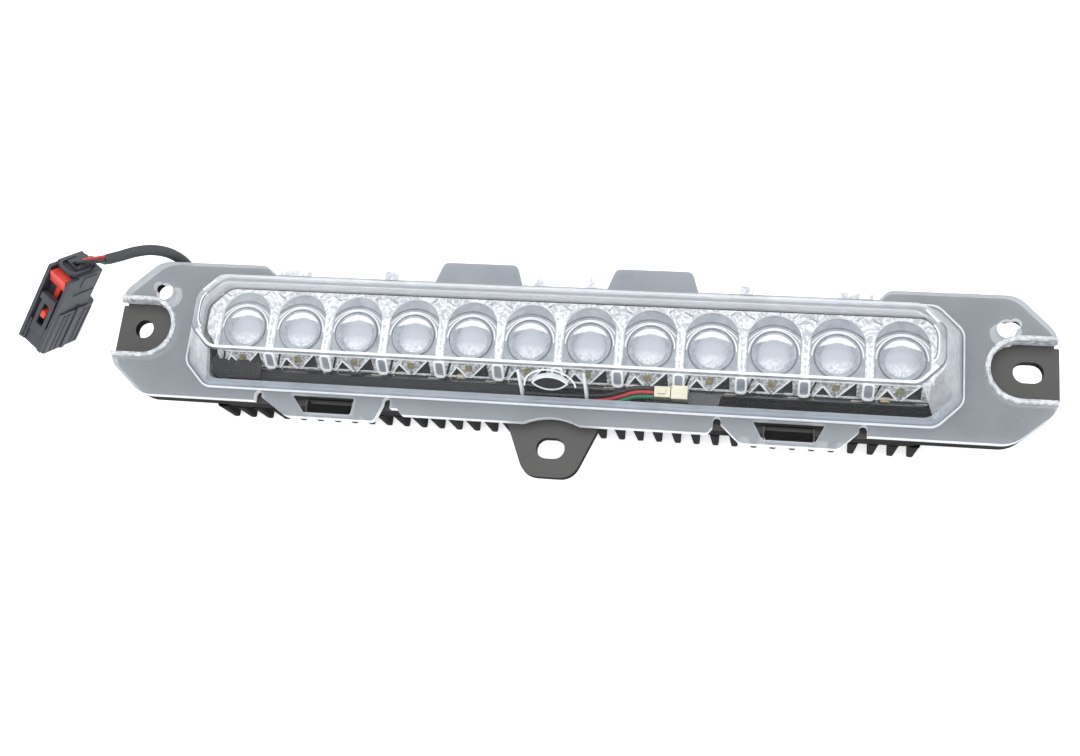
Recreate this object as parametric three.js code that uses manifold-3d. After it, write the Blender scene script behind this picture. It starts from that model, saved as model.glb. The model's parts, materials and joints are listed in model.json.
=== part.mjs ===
// A third brake light: a clear lens snapped over a finned die casting, with twelve light-emitting
// diodes on a board, a moulded row of collimators, and a short cable to a sealed plug.
//
// Millimetres. +X runs along the lamp, +Y is up on the vehicle, +Z is the way the light shines.
// The lamp lies on its fins, so Z = 0 is the surface under them. Inside `lamp` the numbers are
// measured from the middle of the lens flange's front face.

import * as THREE from 'three';
import { mergeVertices } from 'three/addons/utils/BufferGeometryUtils.js';
import Module from 'manifold-3d';

const wasm = await Module();
wasm.setup();

// ---------------------------------------------------------------- driving dimensions
const GAP = 0.3;                       // left between pieces that rest on each other

const FLANGE = { halfX: 170, top: 26.6, bottom: -26.3, middleTop: 23, stepX: 111, thick: 3 };
const CORNER = 13;                     // chamfer on the flange's two upper corners
const LOW_CORNER = { run: 14.6, rise: 12.2 };
const SOFT = 4;                        // where the rounding of those corners starts
const NOTCH = { halfY: 10.4, tipX: 148, wall: 1.7, rise: 0.8 };
const KEY = { x: 153.5, y: 14.4, radius: 3.3, lobe: 1.9, lobeShift: 2.9 };
const TAB = { x: 32, halfTop: 13.8, halfRoot: 16.4, top: 30.9 };
const FOOT = { middle: -28.5, endX: 56.2, arcHalf: 10, arcTop: -26.2 };
const CLIPS = [                        // lens tongues with windows, from the left
  { root: [-107.9, -61.9], tip: [-98, -64.4], windowTop: [-97, -72.6], windowFoot: [-91.5, -73.4] },
  { root: [59.1, 105.6], tip: [66, 99], windowTop: [69.7, 94.6], windowFoot: [73.4, 91.2] },
];
const CLIP_TIP_Y = -31.4;
const CLIP_WINDOW_Y = [-29.7, -23.6];
const RELIEF = { y: -23.2, half: 1.5 };   // slits that free the tongues
const TOP_SLOT = { x: 66, half: 7.4, y: 21.9, halfY: 0.95 };
const TOP_CLIPS = [{ x: 103, half: 6, top: 25.4 }, { x: 65.4, half: 2.4, top: 26.4 }];
const PEG = { x: 9.4, half: 2.4, top: 28.4 };
const RIB = { x: 11.6, half: 0.5, innerY: -16.4, top: 7 };

const DOME = {
  height: 19.5, wall: 2.4,
  base: { halfX: 138.5, bottom: -21.2, top: 20.5, corner: 8.6 },
  face: { halfX: 131, bottom: -12.8, top: 15.2, corner: 8 },
};
const BEAD = { out: 1.3, height: 1.1 };
const PORT = { z: 10.4, half: 5.8, sagitta: 3.1 };

const PLATE = { face: -5, back: -8.5, inset: 0.2, rise: 0.8 };   // rise: how much taller than the lens's ends
const BLOCK = { halfX: 137.4, footX: 135.4, bottom: -24.9, top: 22.4, back: -14.6 };
const TRAY = { halfX: 133.6, bottom: -19.6, top: 18.4, floor: -11.6, corner: 7.4 };
const FIN = { count: 38, firstX: -128.5, pitch: 6.86, root: 3.7, tip: 2.2, bottom: -25.7, top: 21.2 };
const FIN_TIP_Z = -30;
const EAR = { slotY: -36.2, bottom: -46.6, halfRoot: 16.6, halfFoot: 8.6, shoulder: -27.5 };
const END_EAR = { x: 171.4, halfY: 9.7 };  // the plate stands out a little through the notches
const HOLE = { x: 161.3, y: 0.6, radius: 3.6, slotHalf: 1.35, slotRadius: 3.75 };

const BOARD = { halfX: 129, bottom: -12.4, top: 15.6, thick: 1.6, tongue: [30.5, 58.5], tongueY: -16.2 };
const PAD_THICK = 0.7;
const CELLS = { count: 12, pitch: 21.7, y: 1.8 };
const OPTIC = { rim: 8.1, wellRadius: 5.85, top: -0.4, foot: -6.9, footRadius: 3.4 };
const WEB = { halfX: 134, bottom: -7.6, top: 16.8, corner: 7.2, front: -0.5, thick: 2.2 };
const ARCH = { half: 9.35, top: 15.9, depth: 1.2 };      // recess round each collimator
const STAND = { half: 2, width: 2.2 };                   // the web's feet on the board
const SCREW_X = [-108.5, -43.4, 43.4, 108.5];
const SCREW_Y = 13.2;

const SHEATH = 4.2;                    // cable sheath's diameter
const LEAD = 1.5;                      // insulated lead's diameter
const GROMMET = { x: -128.8, y: 5, radius: 3.3 };
const VENT = { x: 131.5, y: -2, radius: 3.4 };
const SCREW = { hole: 1.6, tip: -13.6, shank: 1.2, head: 2.7, headHeight: 2 };
const COVER = { x: [-112, -14], y: [-19.2, -12.8], z: [-8.7, -8.1] };
const HIGH_COVER = { left: -131.8, bottom: -16.8, top: -8.5, cut: 3.3, z: [-5.6, -5] };

const PLUG = { length: 40, half: 5.7, rear: 8, heading: -135.4, droop: 38.2, roll: -15 };
const PLUG_AT = new THREE.Vector3(-188.3, 21.5, 5.2);    // middle of the plug's rear face
const PINS = [1.6, -1.8, -5.2];        // heights of the three ways inside the plug
const HOOD = { start: 18.5, top: 7.4, bottom: -12.6, half: 6.4, wall: 1.2 };
const RAIL = { thick: 1.4, foot: 4, top: 9 };
const LOCK = { start: 2.4, padEnd: 9.2, end: 24.6, half: 4, low: 4.9, bar: 1.1 };
const LATCH = { start: 13.4, end: 33.4, half: 3.2, low: 7, high: 8.2 };
const LATCH_WINDOW = { start: 18.4, end: 28.8, half: 1.5 };

const FRONT_Z = -FIN_TIP_Z;            // height of the flange's front face
const MIDDLE_Y = -(TAB.top + EAR.bottom) / 2;

// ---------------------------------------------------------------- solids
function solid(geometry) {
  const bare = geometry.clone();
  for (const name of Object.keys(bare.attributes)) {
    if (name !== 'position') bare.deleteAttribute(name);
  }
  const merged = mergeVertices(bare, 1e-4);
  return new wasm.Manifold(new wasm.Mesh({
    numProp: 3,
    vertProperties: new Float32Array(merged.attributes.position.array),
    triVerts: new Uint32Array(merged.index.array),
  }));
}

function surface(body) {
  const mesh = body.getMesh();
  const geometry = new THREE.BufferGeometry();
  geometry.setAttribute('position', new THREE.BufferAttribute(new Float32Array(mesh.vertProperties), 3));
  geometry.setIndex(new THREE.BufferAttribute(new Uint32Array(mesh.triVerts), 1));
  geometry.computeVertexNormals();
  return geometry;
}

function box(x0, x1, y0, y1, z0, z1) {
  const geometry = new THREE.BoxGeometry(x1 - x0, y1 - y0, z1 - z0);
  return solid(geometry.translate((x0 + x1) / 2, (y0 + y1) / 2, (z0 + z1) / 2));
}

function slab(shape, z0, z1, curveSegments = 5) {
  const geometry = new THREE.ExtrudeGeometry(shape, { depth: z1 - z0, bevelEnabled: false, curveSegments });
  return solid(geometry.translate(0, 0, z0));
}

function rod(x, y, radius, z0, z1, sides = 16) {
  const geometry = new THREE.CylinderGeometry(radius, radius, z1 - z0, sides);
  return solid(geometry.rotateX(Math.PI / 2).translate(x, y, (z0 + z1) / 2));
}

// A closed outline through corners [x, y, radius]; a corner with a radius is rounded off.
function outline(corners) {
  const shape = new THREE.Shape();
  const count = corners.length;
  corners.forEach(([x, y, radius = 0], i) => {
    const here = new THREE.Vector2(x, y);
    const before = new THREE.Vector2(...corners[(i + count - 1) % count]);
    const after = new THREE.Vector2(...corners[(i + 1) % count]);
    const start = here.clone().add(before.sub(here).setLength(radius || 1).multiplyScalar(radius ? 1 : 0));
    const end = here.clone().add(after.sub(here).setLength(radius || 1).multiplyScalar(radius ? 1 : 0));
    if (i === 0) shape.moveTo(start.x, start.y);
    else shape.lineTo(start.x, start.y);
    if (radius) shape.quadraticCurveTo(x, y, end.x, end.y);
  });
  shape.closePath();
  return shape;
}

// Eight corners of a rectangle with its corners cut off, in the order that every ring shares.
function octagon({ halfX, bottom, top, corner }, grow = 0) {
  const x = halfX + grow;
  const y0 = bottom - grow;
  const y1 = top + grow;
  const c = corner + grow * 0.4;
  return [
    [x - c, y0], [x, y0 + c], [x, y1 - c], [x - c, y1],
    [-x + c, y1], [-x, y1 - c], [-x, y0 + c], [-x + c, y0],
  ];
}

// A solid between two rings with the same number of corners.
function loft(lower, z0, upper, z1) {
  const count = lower.length;
  const points = [...lower.map(([x, y]) => [x, y, z0]), ...upper.map(([x, y]) => [x, y, z1])];
  const faces = [];
  for (let i = 0; i < count; i++) {
    const j = (i + 1) % count;
    faces.push(i, j, count + j, i, count + j, count + i);
  }
  for (let i = 1; i < count - 1; i++) {
    faces.push(0, i + 1, i, count, count + i, count + i + 1);
  }
  return new wasm.Manifold(new wasm.Mesh({
    numProp: 3,
    vertProperties: new Float32Array(points.flat()),
    triVerts: new Uint32Array(faces),
  }));
}

// A turned piece: profile points are [radius, z], both ends on the axis.
function turned(profile, x, y, sides = 16) {
  const points = profile.map(([radius, z]) => new THREE.Vector2(radius, z));
  const geometry = new THREE.LatheGeometry(points, sides);
  return solid(geometry.rotateX(Math.PI / 2).translate(x, y, 0));
}

function tube(points, diameter, sides, steps) {
  const path = new THREE.CatmullRomCurve3(points.map((p) => new THREE.Vector3(...p)), false, 'centripetal');
  const section = new THREE.Shape();
  for (let i = 0; i < sides; i++) {
    const angle = (2 * Math.PI * i) / sides;
    const x = (diameter / 2) * Math.cos(angle);
    const y = (diameter / 2) * Math.sin(angle);
    if (i === 0) section.moveTo(x, y);
    else section.lineTo(x, y);
  }
  section.closePath();
  return new THREE.ExtrudeGeometry(section, { steps, extrudePath: path, bevelEnabled: false });
}

// ---------------------------------------------------------------- scene graph
const FINISH = {
  clear: ['#dfe7ee', 0.08, 0],
  casting: ['#5d5e60', 0.6, 0.4],
  rubber: ['#2b2c2e', 0.9, 0],
  board: ['#1d2326', 0.5, 0],
  pad: ['#8fa3b3', 0.95, 0],
  diode: ['#e9dc9a', 0.35, 0],
  ceramic: ['#c9b48f', 0.5, 0],
  black: ['#202225', 0.45, 0],
  steel: ['#a5a8ac', 0.3, 1],
  ivory: ['#e7e1c4', 0.5, 0],
  red: ['#d8392f', 0.45, 0],
  green: ['#14805a', 0.45, 0],
  housing: ['#43464c', 0.55, 0],
  sheath: ['#46484b', 0.7, 0],
  tin: ['#b9b6a8', 0.35, 1],
};

const root = new THREE.Group();
const lamp = new THREE.Group();
lamp.position.set(0, MIDDLE_Y, FRONT_Z);
root.add(lamp);

const plug = new THREE.Group();
plug.position.copy(PLUG_AT);
plug.rotation.set(
  THREE.MathUtils.degToRad(PLUG.roll),
  THREE.MathUtils.degToRad(PLUG.droop),
  THREE.MathUtils.degToRad(PLUG.heading),
  'ZYX',
);
lamp.add(plug);

function add(name, shape, finish, parent = lamp) {
  const geometry = shape instanceof THREE.BufferGeometry ? shape : surface(shape);
  const [color, roughness, metalness] = FINISH[finish];
  const mesh = new THREE.Mesh(geometry, new THREE.MeshStandardMaterial({ color, roughness, metalness }));
  mesh.name = name;
  parent.add(mesh);
}

// ---------------------------------------------------------------- shared outlines
const cellX = Array.from({ length: CELLS.count }, (_, i) => (i - (CELLS.count - 1) / 2) * CELLS.pitch);

// The flange without its notches and windows, drawn `inset` inside the lens's own edge and, towards
// the ends, `rise` further up.
function flangeOutline(inset, rise = 0) {
  const x = FLANGE.halfX - inset;
  const low = FLANGE.bottom + inset;
  const high = FLANGE.top - inset + rise;
  const side = (s) => [
    [s * (x - LOW_CORNER.run), low, SOFT], [s * x, low + LOW_CORNER.rise, SOFT],
    [s * x, high - CORNER, SOFT], [s * (x - CORNER), high, SOFT],
    [s * (FLANGE.stepX + 3 + inset), high, 2], [s * (FLANGE.stepX + inset), FLANGE.middleTop - inset],
  ];
  return [...side(1), ...side(-1).reverse()];
}

// ---------------------------------------------------------------- outer lens
function notchShape(grow) {
  const r = NOTCH.halfY + grow;
  const shape = new THREE.Shape();
  const centre = NOTCH.tipX + NOTCH.halfY;
  shape.moveTo(FLANGE.halfX + 1, -r);
  shape.lineTo(FLANGE.halfX + 1, r);
  shape.lineTo(centre, r);
  shape.absarc(centre, 0, r, Math.PI / 2, Math.PI * 1.5, false);
  shape.closePath();
  return shape;
}

function mirrored(body) {
  return body.mirror([1, 0, 0]);
}

function keyHole(side, z0, z1) {
  return rod(side * KEY.x, KEY.y, KEY.radius, z0, z1, 14).add(
    rod(side * (KEY.x + KEY.lobeShift), KEY.y + KEY.lobe, KEY.lobe, z0, z1, 10),
  );
}

function makeLens() {
  const back = -FLANGE.thick;
  let body = slab(outline(flangeOutline(0)), back, 0, 4);

  // the lower middle stretch, dipped below the flange and scooped over the centre ear
  const middle = new THREE.Shape();
  middle.moveTo(-FOOT.endX, FLANGE.bottom + 2);
  middle.lineTo(-FOOT.endX + 1.6, FOOT.middle);
  middle.lineTo(-FOOT.arcHalf, FOOT.middle);
  middle.quadraticCurveTo(0, 2 * FOOT.arcTop - FOOT.middle, FOOT.arcHalf, FOOT.middle);
  middle.lineTo(FOOT.endX - 1.6, FOOT.middle);
  middle.lineTo(FOOT.endX, FLANGE.bottom + 2);
  middle.closePath();
  body = body.add(slab(middle, back, 0, 8));

  // the tongues: slits either side, a slanted outline and a window that hooks over the casting
  for (const clip of CLIPS) {
    const [r0, r1] = clip.root;
    body = body.subtract(box(r0 - 2 * RELIEF.half, r1 + 2 * RELIEF.half, CLIP_TIP_Y - 1, -24.6, back - 1, 1));
    const tongue = outline([
      [clip.tip[0], CLIP_TIP_Y, 1.5], [clip.tip[1], CLIP_TIP_Y, 1.5],
      [r1, -24.2], [r1, -22.4], [r0, -22.4], [r0, -24.2],
    ]);
    body = body.add(slab(tongue, back, 0, 3));
    for (const x of [r0 - RELIEF.half, r1 + RELIEF.half]) {
      body = body.subtract(rod(x, RELIEF.y - 0.6, RELIEF.half - 0.2, back - 1, 1, 10));
      body = body.subtract(box(x - 1.1, x + 1.1, -32, RELIEF.y - 0.6, back - 1, 1));
    }
    const window = outline([
      [clip.windowFoot[0], CLIP_WINDOW_Y[0], 1], [clip.windowFoot[1], CLIP_WINDOW_Y[0], 1],
      [clip.windowTop[1], CLIP_WINDOW_Y[1], 0.8], [clip.windowTop[0], CLIP_WINDOW_Y[1], 0.8],
    ]);
    body = body.subtract(slab(window, back - 1, 1, 3));
  }

  // the two plain tabs and the small clear clips along the top edge
  for (const s of [-1, 1]) {
    const x = s * TAB.x;
    body = body.add(slab(outline([
      [x - TAB.halfRoot, FLANGE.middleTop - 1], [x + TAB.halfRoot, FLANGE.middleTop - 1],
      [x + TAB.halfTop, TAB.top, 2], [x - TAB.halfTop, TAB.top, 2],
    ]), back, -0.6, 3));
    for (const { x: clipX, half, top } of TOP_CLIPS) {
      body = body.add(box(s * clipX - half, s * clipX + half, FLANGE.middleTop - 1, top, -2.4, -0.8));
    }
    const pegX = s * PEG.x;
    body = body.add(slab(outline([
      [pegX - PEG.half, FLANGE.middleTop - 1], [pegX + PEG.half, FLANGE.middleTop - 1], [pegX, PEG.top],
    ]), -2.4, -1.2, 1));
  }

  // end notches with a lip that runs back to the casting
  const lip = slab(notchShape(NOTCH.wall), PLATE.face + GAP, NOTCH.rise, 10)
    .intersect(box(0, FLANGE.halfX, -20, 20, -20, 20));
  const notch = slab(notchShape(0), -20, 20, 10);
  for (const flip of [(b) => b, mirrored]) {
    body = body.add(flip(lip)).subtract(flip(notch));
  }
  body = body.subtract(keyHole(1, -20, 20)).subtract(mirrored(keyHole(1, -20, 20)));

  // the dome, its bead, and the hollow behind it
  const { base, face, wall, height } = DOME;
  body = body.add(loft(octagon(base), -0.5, octagon(face), height));
  body = body.add(loft(octagon(base, BEAD.out), -0.5, octagon(base, BEAD.out - 0.6), BEAD.height));
  body = body.subtract(loft(octagon(base, -wall), back - 1, octagon(face, -wall), height - wall));

  // ribs inside the lower wall, either side of the port
  const hollow = loft(octagon(base, 0.4 - wall), back, octagon(face, 0.4 - wall), height - wall + 0.4);
  for (const s of [-1, 1]) {
    const rib = box(s * RIB.x - RIB.half, s * RIB.x + RIB.half, base.bottom, RIB.innerY, back, RIB.top);
    body = body.add(rib.intersect(hollow));
    body = body.subtract(box(s * TOP_SLOT.x - TOP_SLOT.half, s * TOP_SLOT.x + TOP_SLOT.half,
      TOP_SLOT.y - TOP_SLOT.halfY, TOP_SLOT.y + TOP_SLOT.halfY, back - 1, BEAD.height));
  }
  return body.subtract(portSolid(1, 4));
}

// A pointed-oval prism through the lens's sloping lower wall.
function portSolid(scale, depth) {
  const half = PORT.half * scale;
  const rise = PORT.sagitta * 2 * scale;
  const shape = new THREE.Shape();
  shape.moveTo(-half, 0);
  shape.quadraticCurveTo(0, -rise, half, 0);
  shape.quadraticCurveTo(0, rise, -half, 0);
  const geometry = new THREE.ExtrudeGeometry(shape, { depth, bevelEnabled: false, curveSegments: 7 });
  const run = DOME.face.bottom - DOME.base.bottom;
  const lean = Math.atan2(DOME.height, run);       // slope of the lower wall from the flange
  geometry.translate(0, 0, -depth / 2).rotateX(lean);
  const y = DOME.base.bottom + (run * PORT.z) / DOME.height;
  const inward = DOME.wall / 2;
  return solid(geometry.translate(0, y + inward * Math.sin(lean), PORT.z - inward * Math.cos(lean)));
}

add('outer_lens', makeLens(), 'clear');
add('port_plug', portSolid(0.92, DOME.wall * 0.8), 'rubber');

// ---------------------------------------------------------------- heat sink casting
function slotShape(x, y, half, radius) {
  const shape = new THREE.Shape();
  shape.absarc(x + half, y, radius, -Math.PI / 2, Math.PI / 2, false);
  shape.absarc(x - half, y, radius, Math.PI / 2, Math.PI * 1.5, false);
  shape.closePath();
  return shape;
}

function makeFin(x) {
  const base = FIN.root / 2;
  const tip = FIN.tip / 2;
  const profile = outline([
    [-base, -0.4], [base, -0.4], [tip, BLOCK.back - FIN_TIP_Z, 0.9], [-tip, BLOCK.back - FIN_TIP_Z, 0.9],
  ]);
  const depth = FIN.top - FIN.bottom;
  const geometry = new THREE.ExtrudeGeometry(profile, { depth, bevelEnabled: false, curveSegments: 2 });
  // the profile's height becomes -Z and the extrusion runs along +Y
  return solid(geometry.rotateX(-Math.PI / 2).translate(x, FIN.bottom, BLOCK.back));
}

function makeCasting() {
  let body = slab(outline(flangeOutline(PLATE.inset, PLATE.rise)), PLATE.back, PLATE.face, 3);
  const ear = outline([
    [-EAR.halfFoot, EAR.bottom, 5], [EAR.halfFoot, EAR.bottom, 5],
    [EAR.halfRoot, EAR.shoulder, 2], [EAR.halfRoot, -22],
    [-EAR.halfRoot, -22], [-EAR.halfRoot, EAR.shoulder, 2],
  ]);
  body = body.add(slab(ear, PLATE.back, PLATE.face, 5));
  body = body.add(box(-END_EAR.x, END_EAR.x, -END_EAR.halfY, END_EAR.halfY, PLATE.back, PLATE.face));

  const shoulder = octagon({ ...BLOCK, corner: 9 });
  const foot = octagon({ halfX: BLOCK.footX, bottom: BLOCK.bottom, top: BLOCK.top, corner: 9 });
  body = body.add(loft(foot, BLOCK.back, shoulder, PLATE.back + 0.5));
  for (let i = 0; i < FIN.count; i++) {
    body = body.add(makeFin(FIN.firstX + i * FIN.pitch));
  }
  body = body.subtract(rod(GROMMET.x, GROMMET.y, 6.4, -40, BLOCK.back, 16));
  body = body.subtract(loft(octagon(TRAY), TRAY.floor, octagon(TRAY), 1));

  // hooks that fill the lens's windows, and bars that stand in its upper slots
  for (const clip of CLIPS) {
    const x0 = clip.windowFoot[0] + 1;
    const x1 = clip.windowFoot[1] - 1;
    body = body.add(box(x0, x1, CLIP_WINDOW_Y[0] + 0.8, -24.4, PLATE.back, PLATE.face));
    body = body.add(box(x0, x1, CLIP_WINDOW_Y[0] + 0.8, -25.6, PLATE.face - 0.5, -1.4));
  }
  for (const s of [-1, 1]) {
    body = body.add(box(s * TOP_SLOT.x - 6.9, s * TOP_SLOT.x + 6.9,
      TOP_SLOT.y - 0.6, TOP_SLOT.y + 0.6, PLATE.face - 1, -0.2));
  }

  // fixing holes, the board screws' holes, the cable's and the vent's
  body = body.subtract(rod(-HOLE.x, HOLE.y, HOLE.radius, -20, 20, 20));
  body = body.subtract(slab(slotShape(HOLE.x, HOLE.y, HOLE.slotHalf, HOLE.slotRadius), -20, 20, 8));
  body = body.subtract(slab(slotShape(0, EAR.slotY, HOLE.slotHalf, HOLE.slotRadius), -20, 20, 8));
  body = body.subtract(keyHole(1, -20, 20)).subtract(mirrored(keyHole(1, -20, 20)));
  for (const x of SCREW_X) {
    body = body.subtract(rod(x, SCREW_Y, SCREW.hole, SCREW.tip - GAP, 0, 10));
  }
  body = body.subtract(rod(GROMMET.x, GROMMET.y, GROMMET.radius + GAP, -20, 0, 16));
  return body.subtract(rod(VENT.x, VENT.y, 1.6, -20, 0, 12));
}

add('heat_sink', makeCasting(), 'casting');

// ---------------------------------------------------------------- seal, pad and board
const sealOuter = octagon({ halfX: 141.5, bottom: -23.6, top: 21, corner: 9.6 });
const sealInner = octagon({ halfX: 137.2, bottom: -20.4, top: 19.2, corner: 8.4 });
const sealZ = [PLATE.face + GAP, -FLANGE.thick - GAP];
add('lens_gasket', loft(sealOuter, sealZ[0], sealOuter, sealZ[1])
  .subtract(loft(sealInner, -6, sealInner, 0)), 'rubber');

const padZ = TRAY.floor + 0.1;
const boardZ = padZ + PAD_THICK + 0.1;
const boardTop = boardZ + BOARD.thick;
const boardShape = outline([
  [-BOARD.halfX, BOARD.bottom, 2], [BOARD.tongue[0], BOARD.bottom], [BOARD.tongue[0] + 1, BOARD.tongueY, 1],
  [BOARD.tongue[1] - 1, BOARD.tongueY, 1], [BOARD.tongue[1], BOARD.bottom], [BOARD.halfX, BOARD.bottom, 2],
  [BOARD.halfX, BOARD.top, 4], [-BOARD.halfX, BOARD.top, 4],
]);
let board = slab(boardShape, boardZ, boardTop, 3);
let pad = box(-BOARD.halfX + 2, BOARD.halfX - 2, -9.5, 15, padZ, padZ + PAD_THICK);
const clearance = rod(GROMMET.x, GROMMET.y, 6.5, -20, 0, 16);
for (const x of SCREW_X) {
  board = board.subtract(rod(x, SCREW_Y, SCREW.hole + 0.1, -20, 0, 10));
  pad = pad.subtract(rod(x, SCREW_Y, SCREW.hole + GAP, -20, 0, 10));
  const crown = boardTop + SCREW.headHeight;
  add(`board_screw_${SCREW_X.indexOf(x) + 1}`, turned([
    [0, SCREW.tip], [SCREW.shank, SCREW.tip + 0.4], [SCREW.shank, boardTop + 0.1],
    [SCREW.head, boardTop + 0.1], [SCREW.head, crown - 1], [SCREW.head - 0.8, crown - 0.1], [0, crown],
  ], x, SCREW_Y, 12), 'steel');
}
add('led_board', board.subtract(clearance), 'board');
add('thermal_pad', pad.subtract(clearance), 'pad');

cellX.forEach((x, i) => {
  const y = CELLS.y;
  const body = box(x - 1.75, x + 1.75, y - 1.75, y + 1.75, boardTop + 0.05, boardTop + 0.75)
    .add(rod(x, y, 1.3, boardTop + 0.5, boardTop + 1.15, 8));
  add(`led_${String(i + 1).padStart(2, '0')}`, body, 'diode');
});

// ---------------------------------------------------------------- collimator row
function collimator(x) {
  const { rim, wellRadius, top, foot, footRadius } = OPTIC;
  return turned([
    [0, foot + 2], [2, foot], [footRadius, foot], [rim, top - 1.6],
    [rim, top], [wellRadius, top - 2.9], [0, top - 1.8],
  ], x, CELLS.y, 10);
}

// An arch with straight sides that runs out through the web's lower edge.
function archShape(x) {
  const shape = new THREE.Shape();
  const spring = ARCH.top - ARCH.half;
  shape.moveTo(x + ARCH.half, WEB.bottom - 1);
  shape.lineTo(x + ARCH.half, spring);
  shape.absarc(x, spring, ARCH.half, 0, Math.PI, false);
  shape.lineTo(x - ARCH.half, WEB.bottom - 1);
  shape.closePath();
  return shape;
}

function makeOptic() {
  const webBack = WEB.front - WEB.thick;
  let body = loft(octagon(WEB), webBack, octagon(WEB), WEB.front);
  for (const x of cellX) {
    body = body.subtract(slab(archShape(x), WEB.front - ARCH.depth, WEB.front + 1, 6));
    body = body.subtract(rod(x, CELLS.y, OPTIC.rim - 0.6, webBack - 1, 1, 10)).add(collimator(x));
  }
  for (let i = 1; i < CELLS.count; i++) {
    const x = (i - CELLS.count / 2) * CELLS.pitch;
    body = body.add(box(x - STAND.half, x + STAND.half, WEB.bottom, WEB.bottom + STAND.width,
      boardTop + 0.1, webBack + 0.5));
  }
  return body;
}

add('inner_optic', makeOptic(), 'clear');

// ---------------------------------------------------------------- driver components
function chip(name, x, y, sizeX, sizeY, height, finish, lift = 0.05) {
  const body = box(x - sizeX / 2, x + sizeX / 2, y - sizeY / 2, y + sizeY / 2,
    boardTop + lift, boardTop + lift + height);
  add(name, body, finish);
}

chip('driver_chip', -92.6, -9.7, 6.2, 4.4, 1.5, 'black');
chip('choke', -76, -9.8, 5, 4.6, 1.8, 'black');
chip('capacitor_1', -101, -10.2, 3.2, 1.9, 1.4, 'ceramic');
chip('capacitor_2', -36, -10.6, 3.2, 1.9, 1.4, 'ceramic');
chip('capacitor_3', 114.5, -10.8, 3.2, 1.9, 1.4, 'ceramic');
chip('diode_1', 68.5, -10, 4.2, 2.8, 1.9, 'black');
chip('diode_2', 78, -10, 4.2, 2.8, 1.9, 'black');
chip('shunt_1', 90, -10.4, 3.2, 1.8, 0.7, 'black');
chip('shunt_2', 99, -10.4, 3.2, 1.8, 0.7, 'black');

// board socket and the small plug on its end, which takes the three leads
const SOCKET = { x: [41, 46.8], y: [-15.6, -10.6], height: 4.6 };
add('board_socket', box(SOCKET.x[0], SOCKET.x[1], SOCKET.y[0], SOCKET.y[1],
  boardTop + 0.05, boardTop + SOCKET.height), 'ivory');
const wirePlug = box(35, SOCKET.x[0] - GAP, -15.1, -11.1, boardTop + 0.5, boardTop + 4.2)
  .add(box(36.4, 39, -14, -12.2, boardTop + 4, boardTop + 4.9));
add('board_plug', wirePlug, 'ivory');

// lid of the channel below the board; its left end steps up over the bend where the leads cross the board
const step = box(COVER.x[0] - 0.6, COVER.x[0], HIGH_COVER.bottom, COVER.y[1], COVER.z[0], HIGH_COVER.z[1]);
const highLid = slab(outline([
  [HIGH_COVER.left, HIGH_COVER.bottom + HIGH_COVER.cut], [HIGH_COVER.left + HIGH_COVER.cut, HIGH_COVER.bottom],
  [COVER.x[0], HIGH_COVER.bottom], [COVER.x[0], HIGH_COVER.top], [HIGH_COVER.left, HIGH_COVER.top],
]), ...HIGH_COVER.z);
add('channel_cover', box(...COVER.x, ...COVER.y, ...COVER.z).add(step).add(highLid), 'black');

// ---------------------------------------------------------------- grommet, vent and leads
add('cable_grommet', turned([
  [0, -17.8], [SHEATH / 2 + 0.5, -17.8], [GROMMET.radius, BLOCK.back - GAP],
  [GROMMET.radius, TRAY.floor + 0.2], [4.5, TRAY.floor + 0.2], [4.5, TRAY.floor + 1.4],
  [3.4, TRAY.floor + 2], [0, TRAY.floor + 2],
], GROMMET.x, GROMMET.y, 16), 'rubber');

add('breather_vent', turned([
  [0, -17.2], [VENT.radius - 0.6, -17.2], [VENT.radius, -16.6], [VENT.radius, BLOCK.back - GAP],
  [1.3, BLOCK.back - GAP], [1.3, TRAY.floor + 0.4], [0, TRAY.floor + 0.4],
], VENT.x, VENT.y, 14), 'rubber');

// the leads run side by side: out of the board plug, down into the channel, left, and round to the grommet
const LANES = { y: -16.3, z: -9.8, spacing: 1.9 };
['green', 'red', 'black'].forEach((colour, i) => {
  const side = (i - 1) * LANES.spacing;
  const lane = LANES.y + side;
  const turnX = GROMMET.x + side * 0.85;
  const overBoard = boardTop + 2.3;
  add(`inner_lead_${colour}`, tube([
    [34.6, -13.1 + side * 0.85, overBoard], [28.5, -13.4 + side * 0.9, overBoard], [16, lane, LANES.z],
    [-50, lane, LANES.z], [-104, lane, LANES.z], [turnX + 12, lane, LANES.z + 0.2],
    [turnX + 4.6, lane + 1.2, LANES.z + 1.9], [turnX, lane + 6.4, overBoard - 0.3], [turnX, -5, overBoard],
    [turnX, 2, overBoard + 0.4], [turnX, GROMMET.y, overBoard - 1.6],
  ], LEAD, 6, 32), colour);
});

// ---------------------------------------------------------------- outer cable
const sheathRoute = [
  [-128.8, 5, -18.1], [-129, 5.2, -20.8], [-130.9, 6.9, -24.2], [-134.4, 10, -26], [-138.4, 13.6, -25.3],
  [-142.2, 17.4, -22.5], [-145.8, 21.8, -18.1], [-149.2, 26.4, -13], [-152.6, 30.2, -7.6],
  [-157, 31.6, -3], [-162.4, 31, 0.2], [-168, 29.4, 1.6], [-173.4, 27.4, 1.9], [-178.4, 25.8, 2],
];
add('cable_sheath', tube(sheathRoute, SHEATH, 8, 30), 'sheath');

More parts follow.
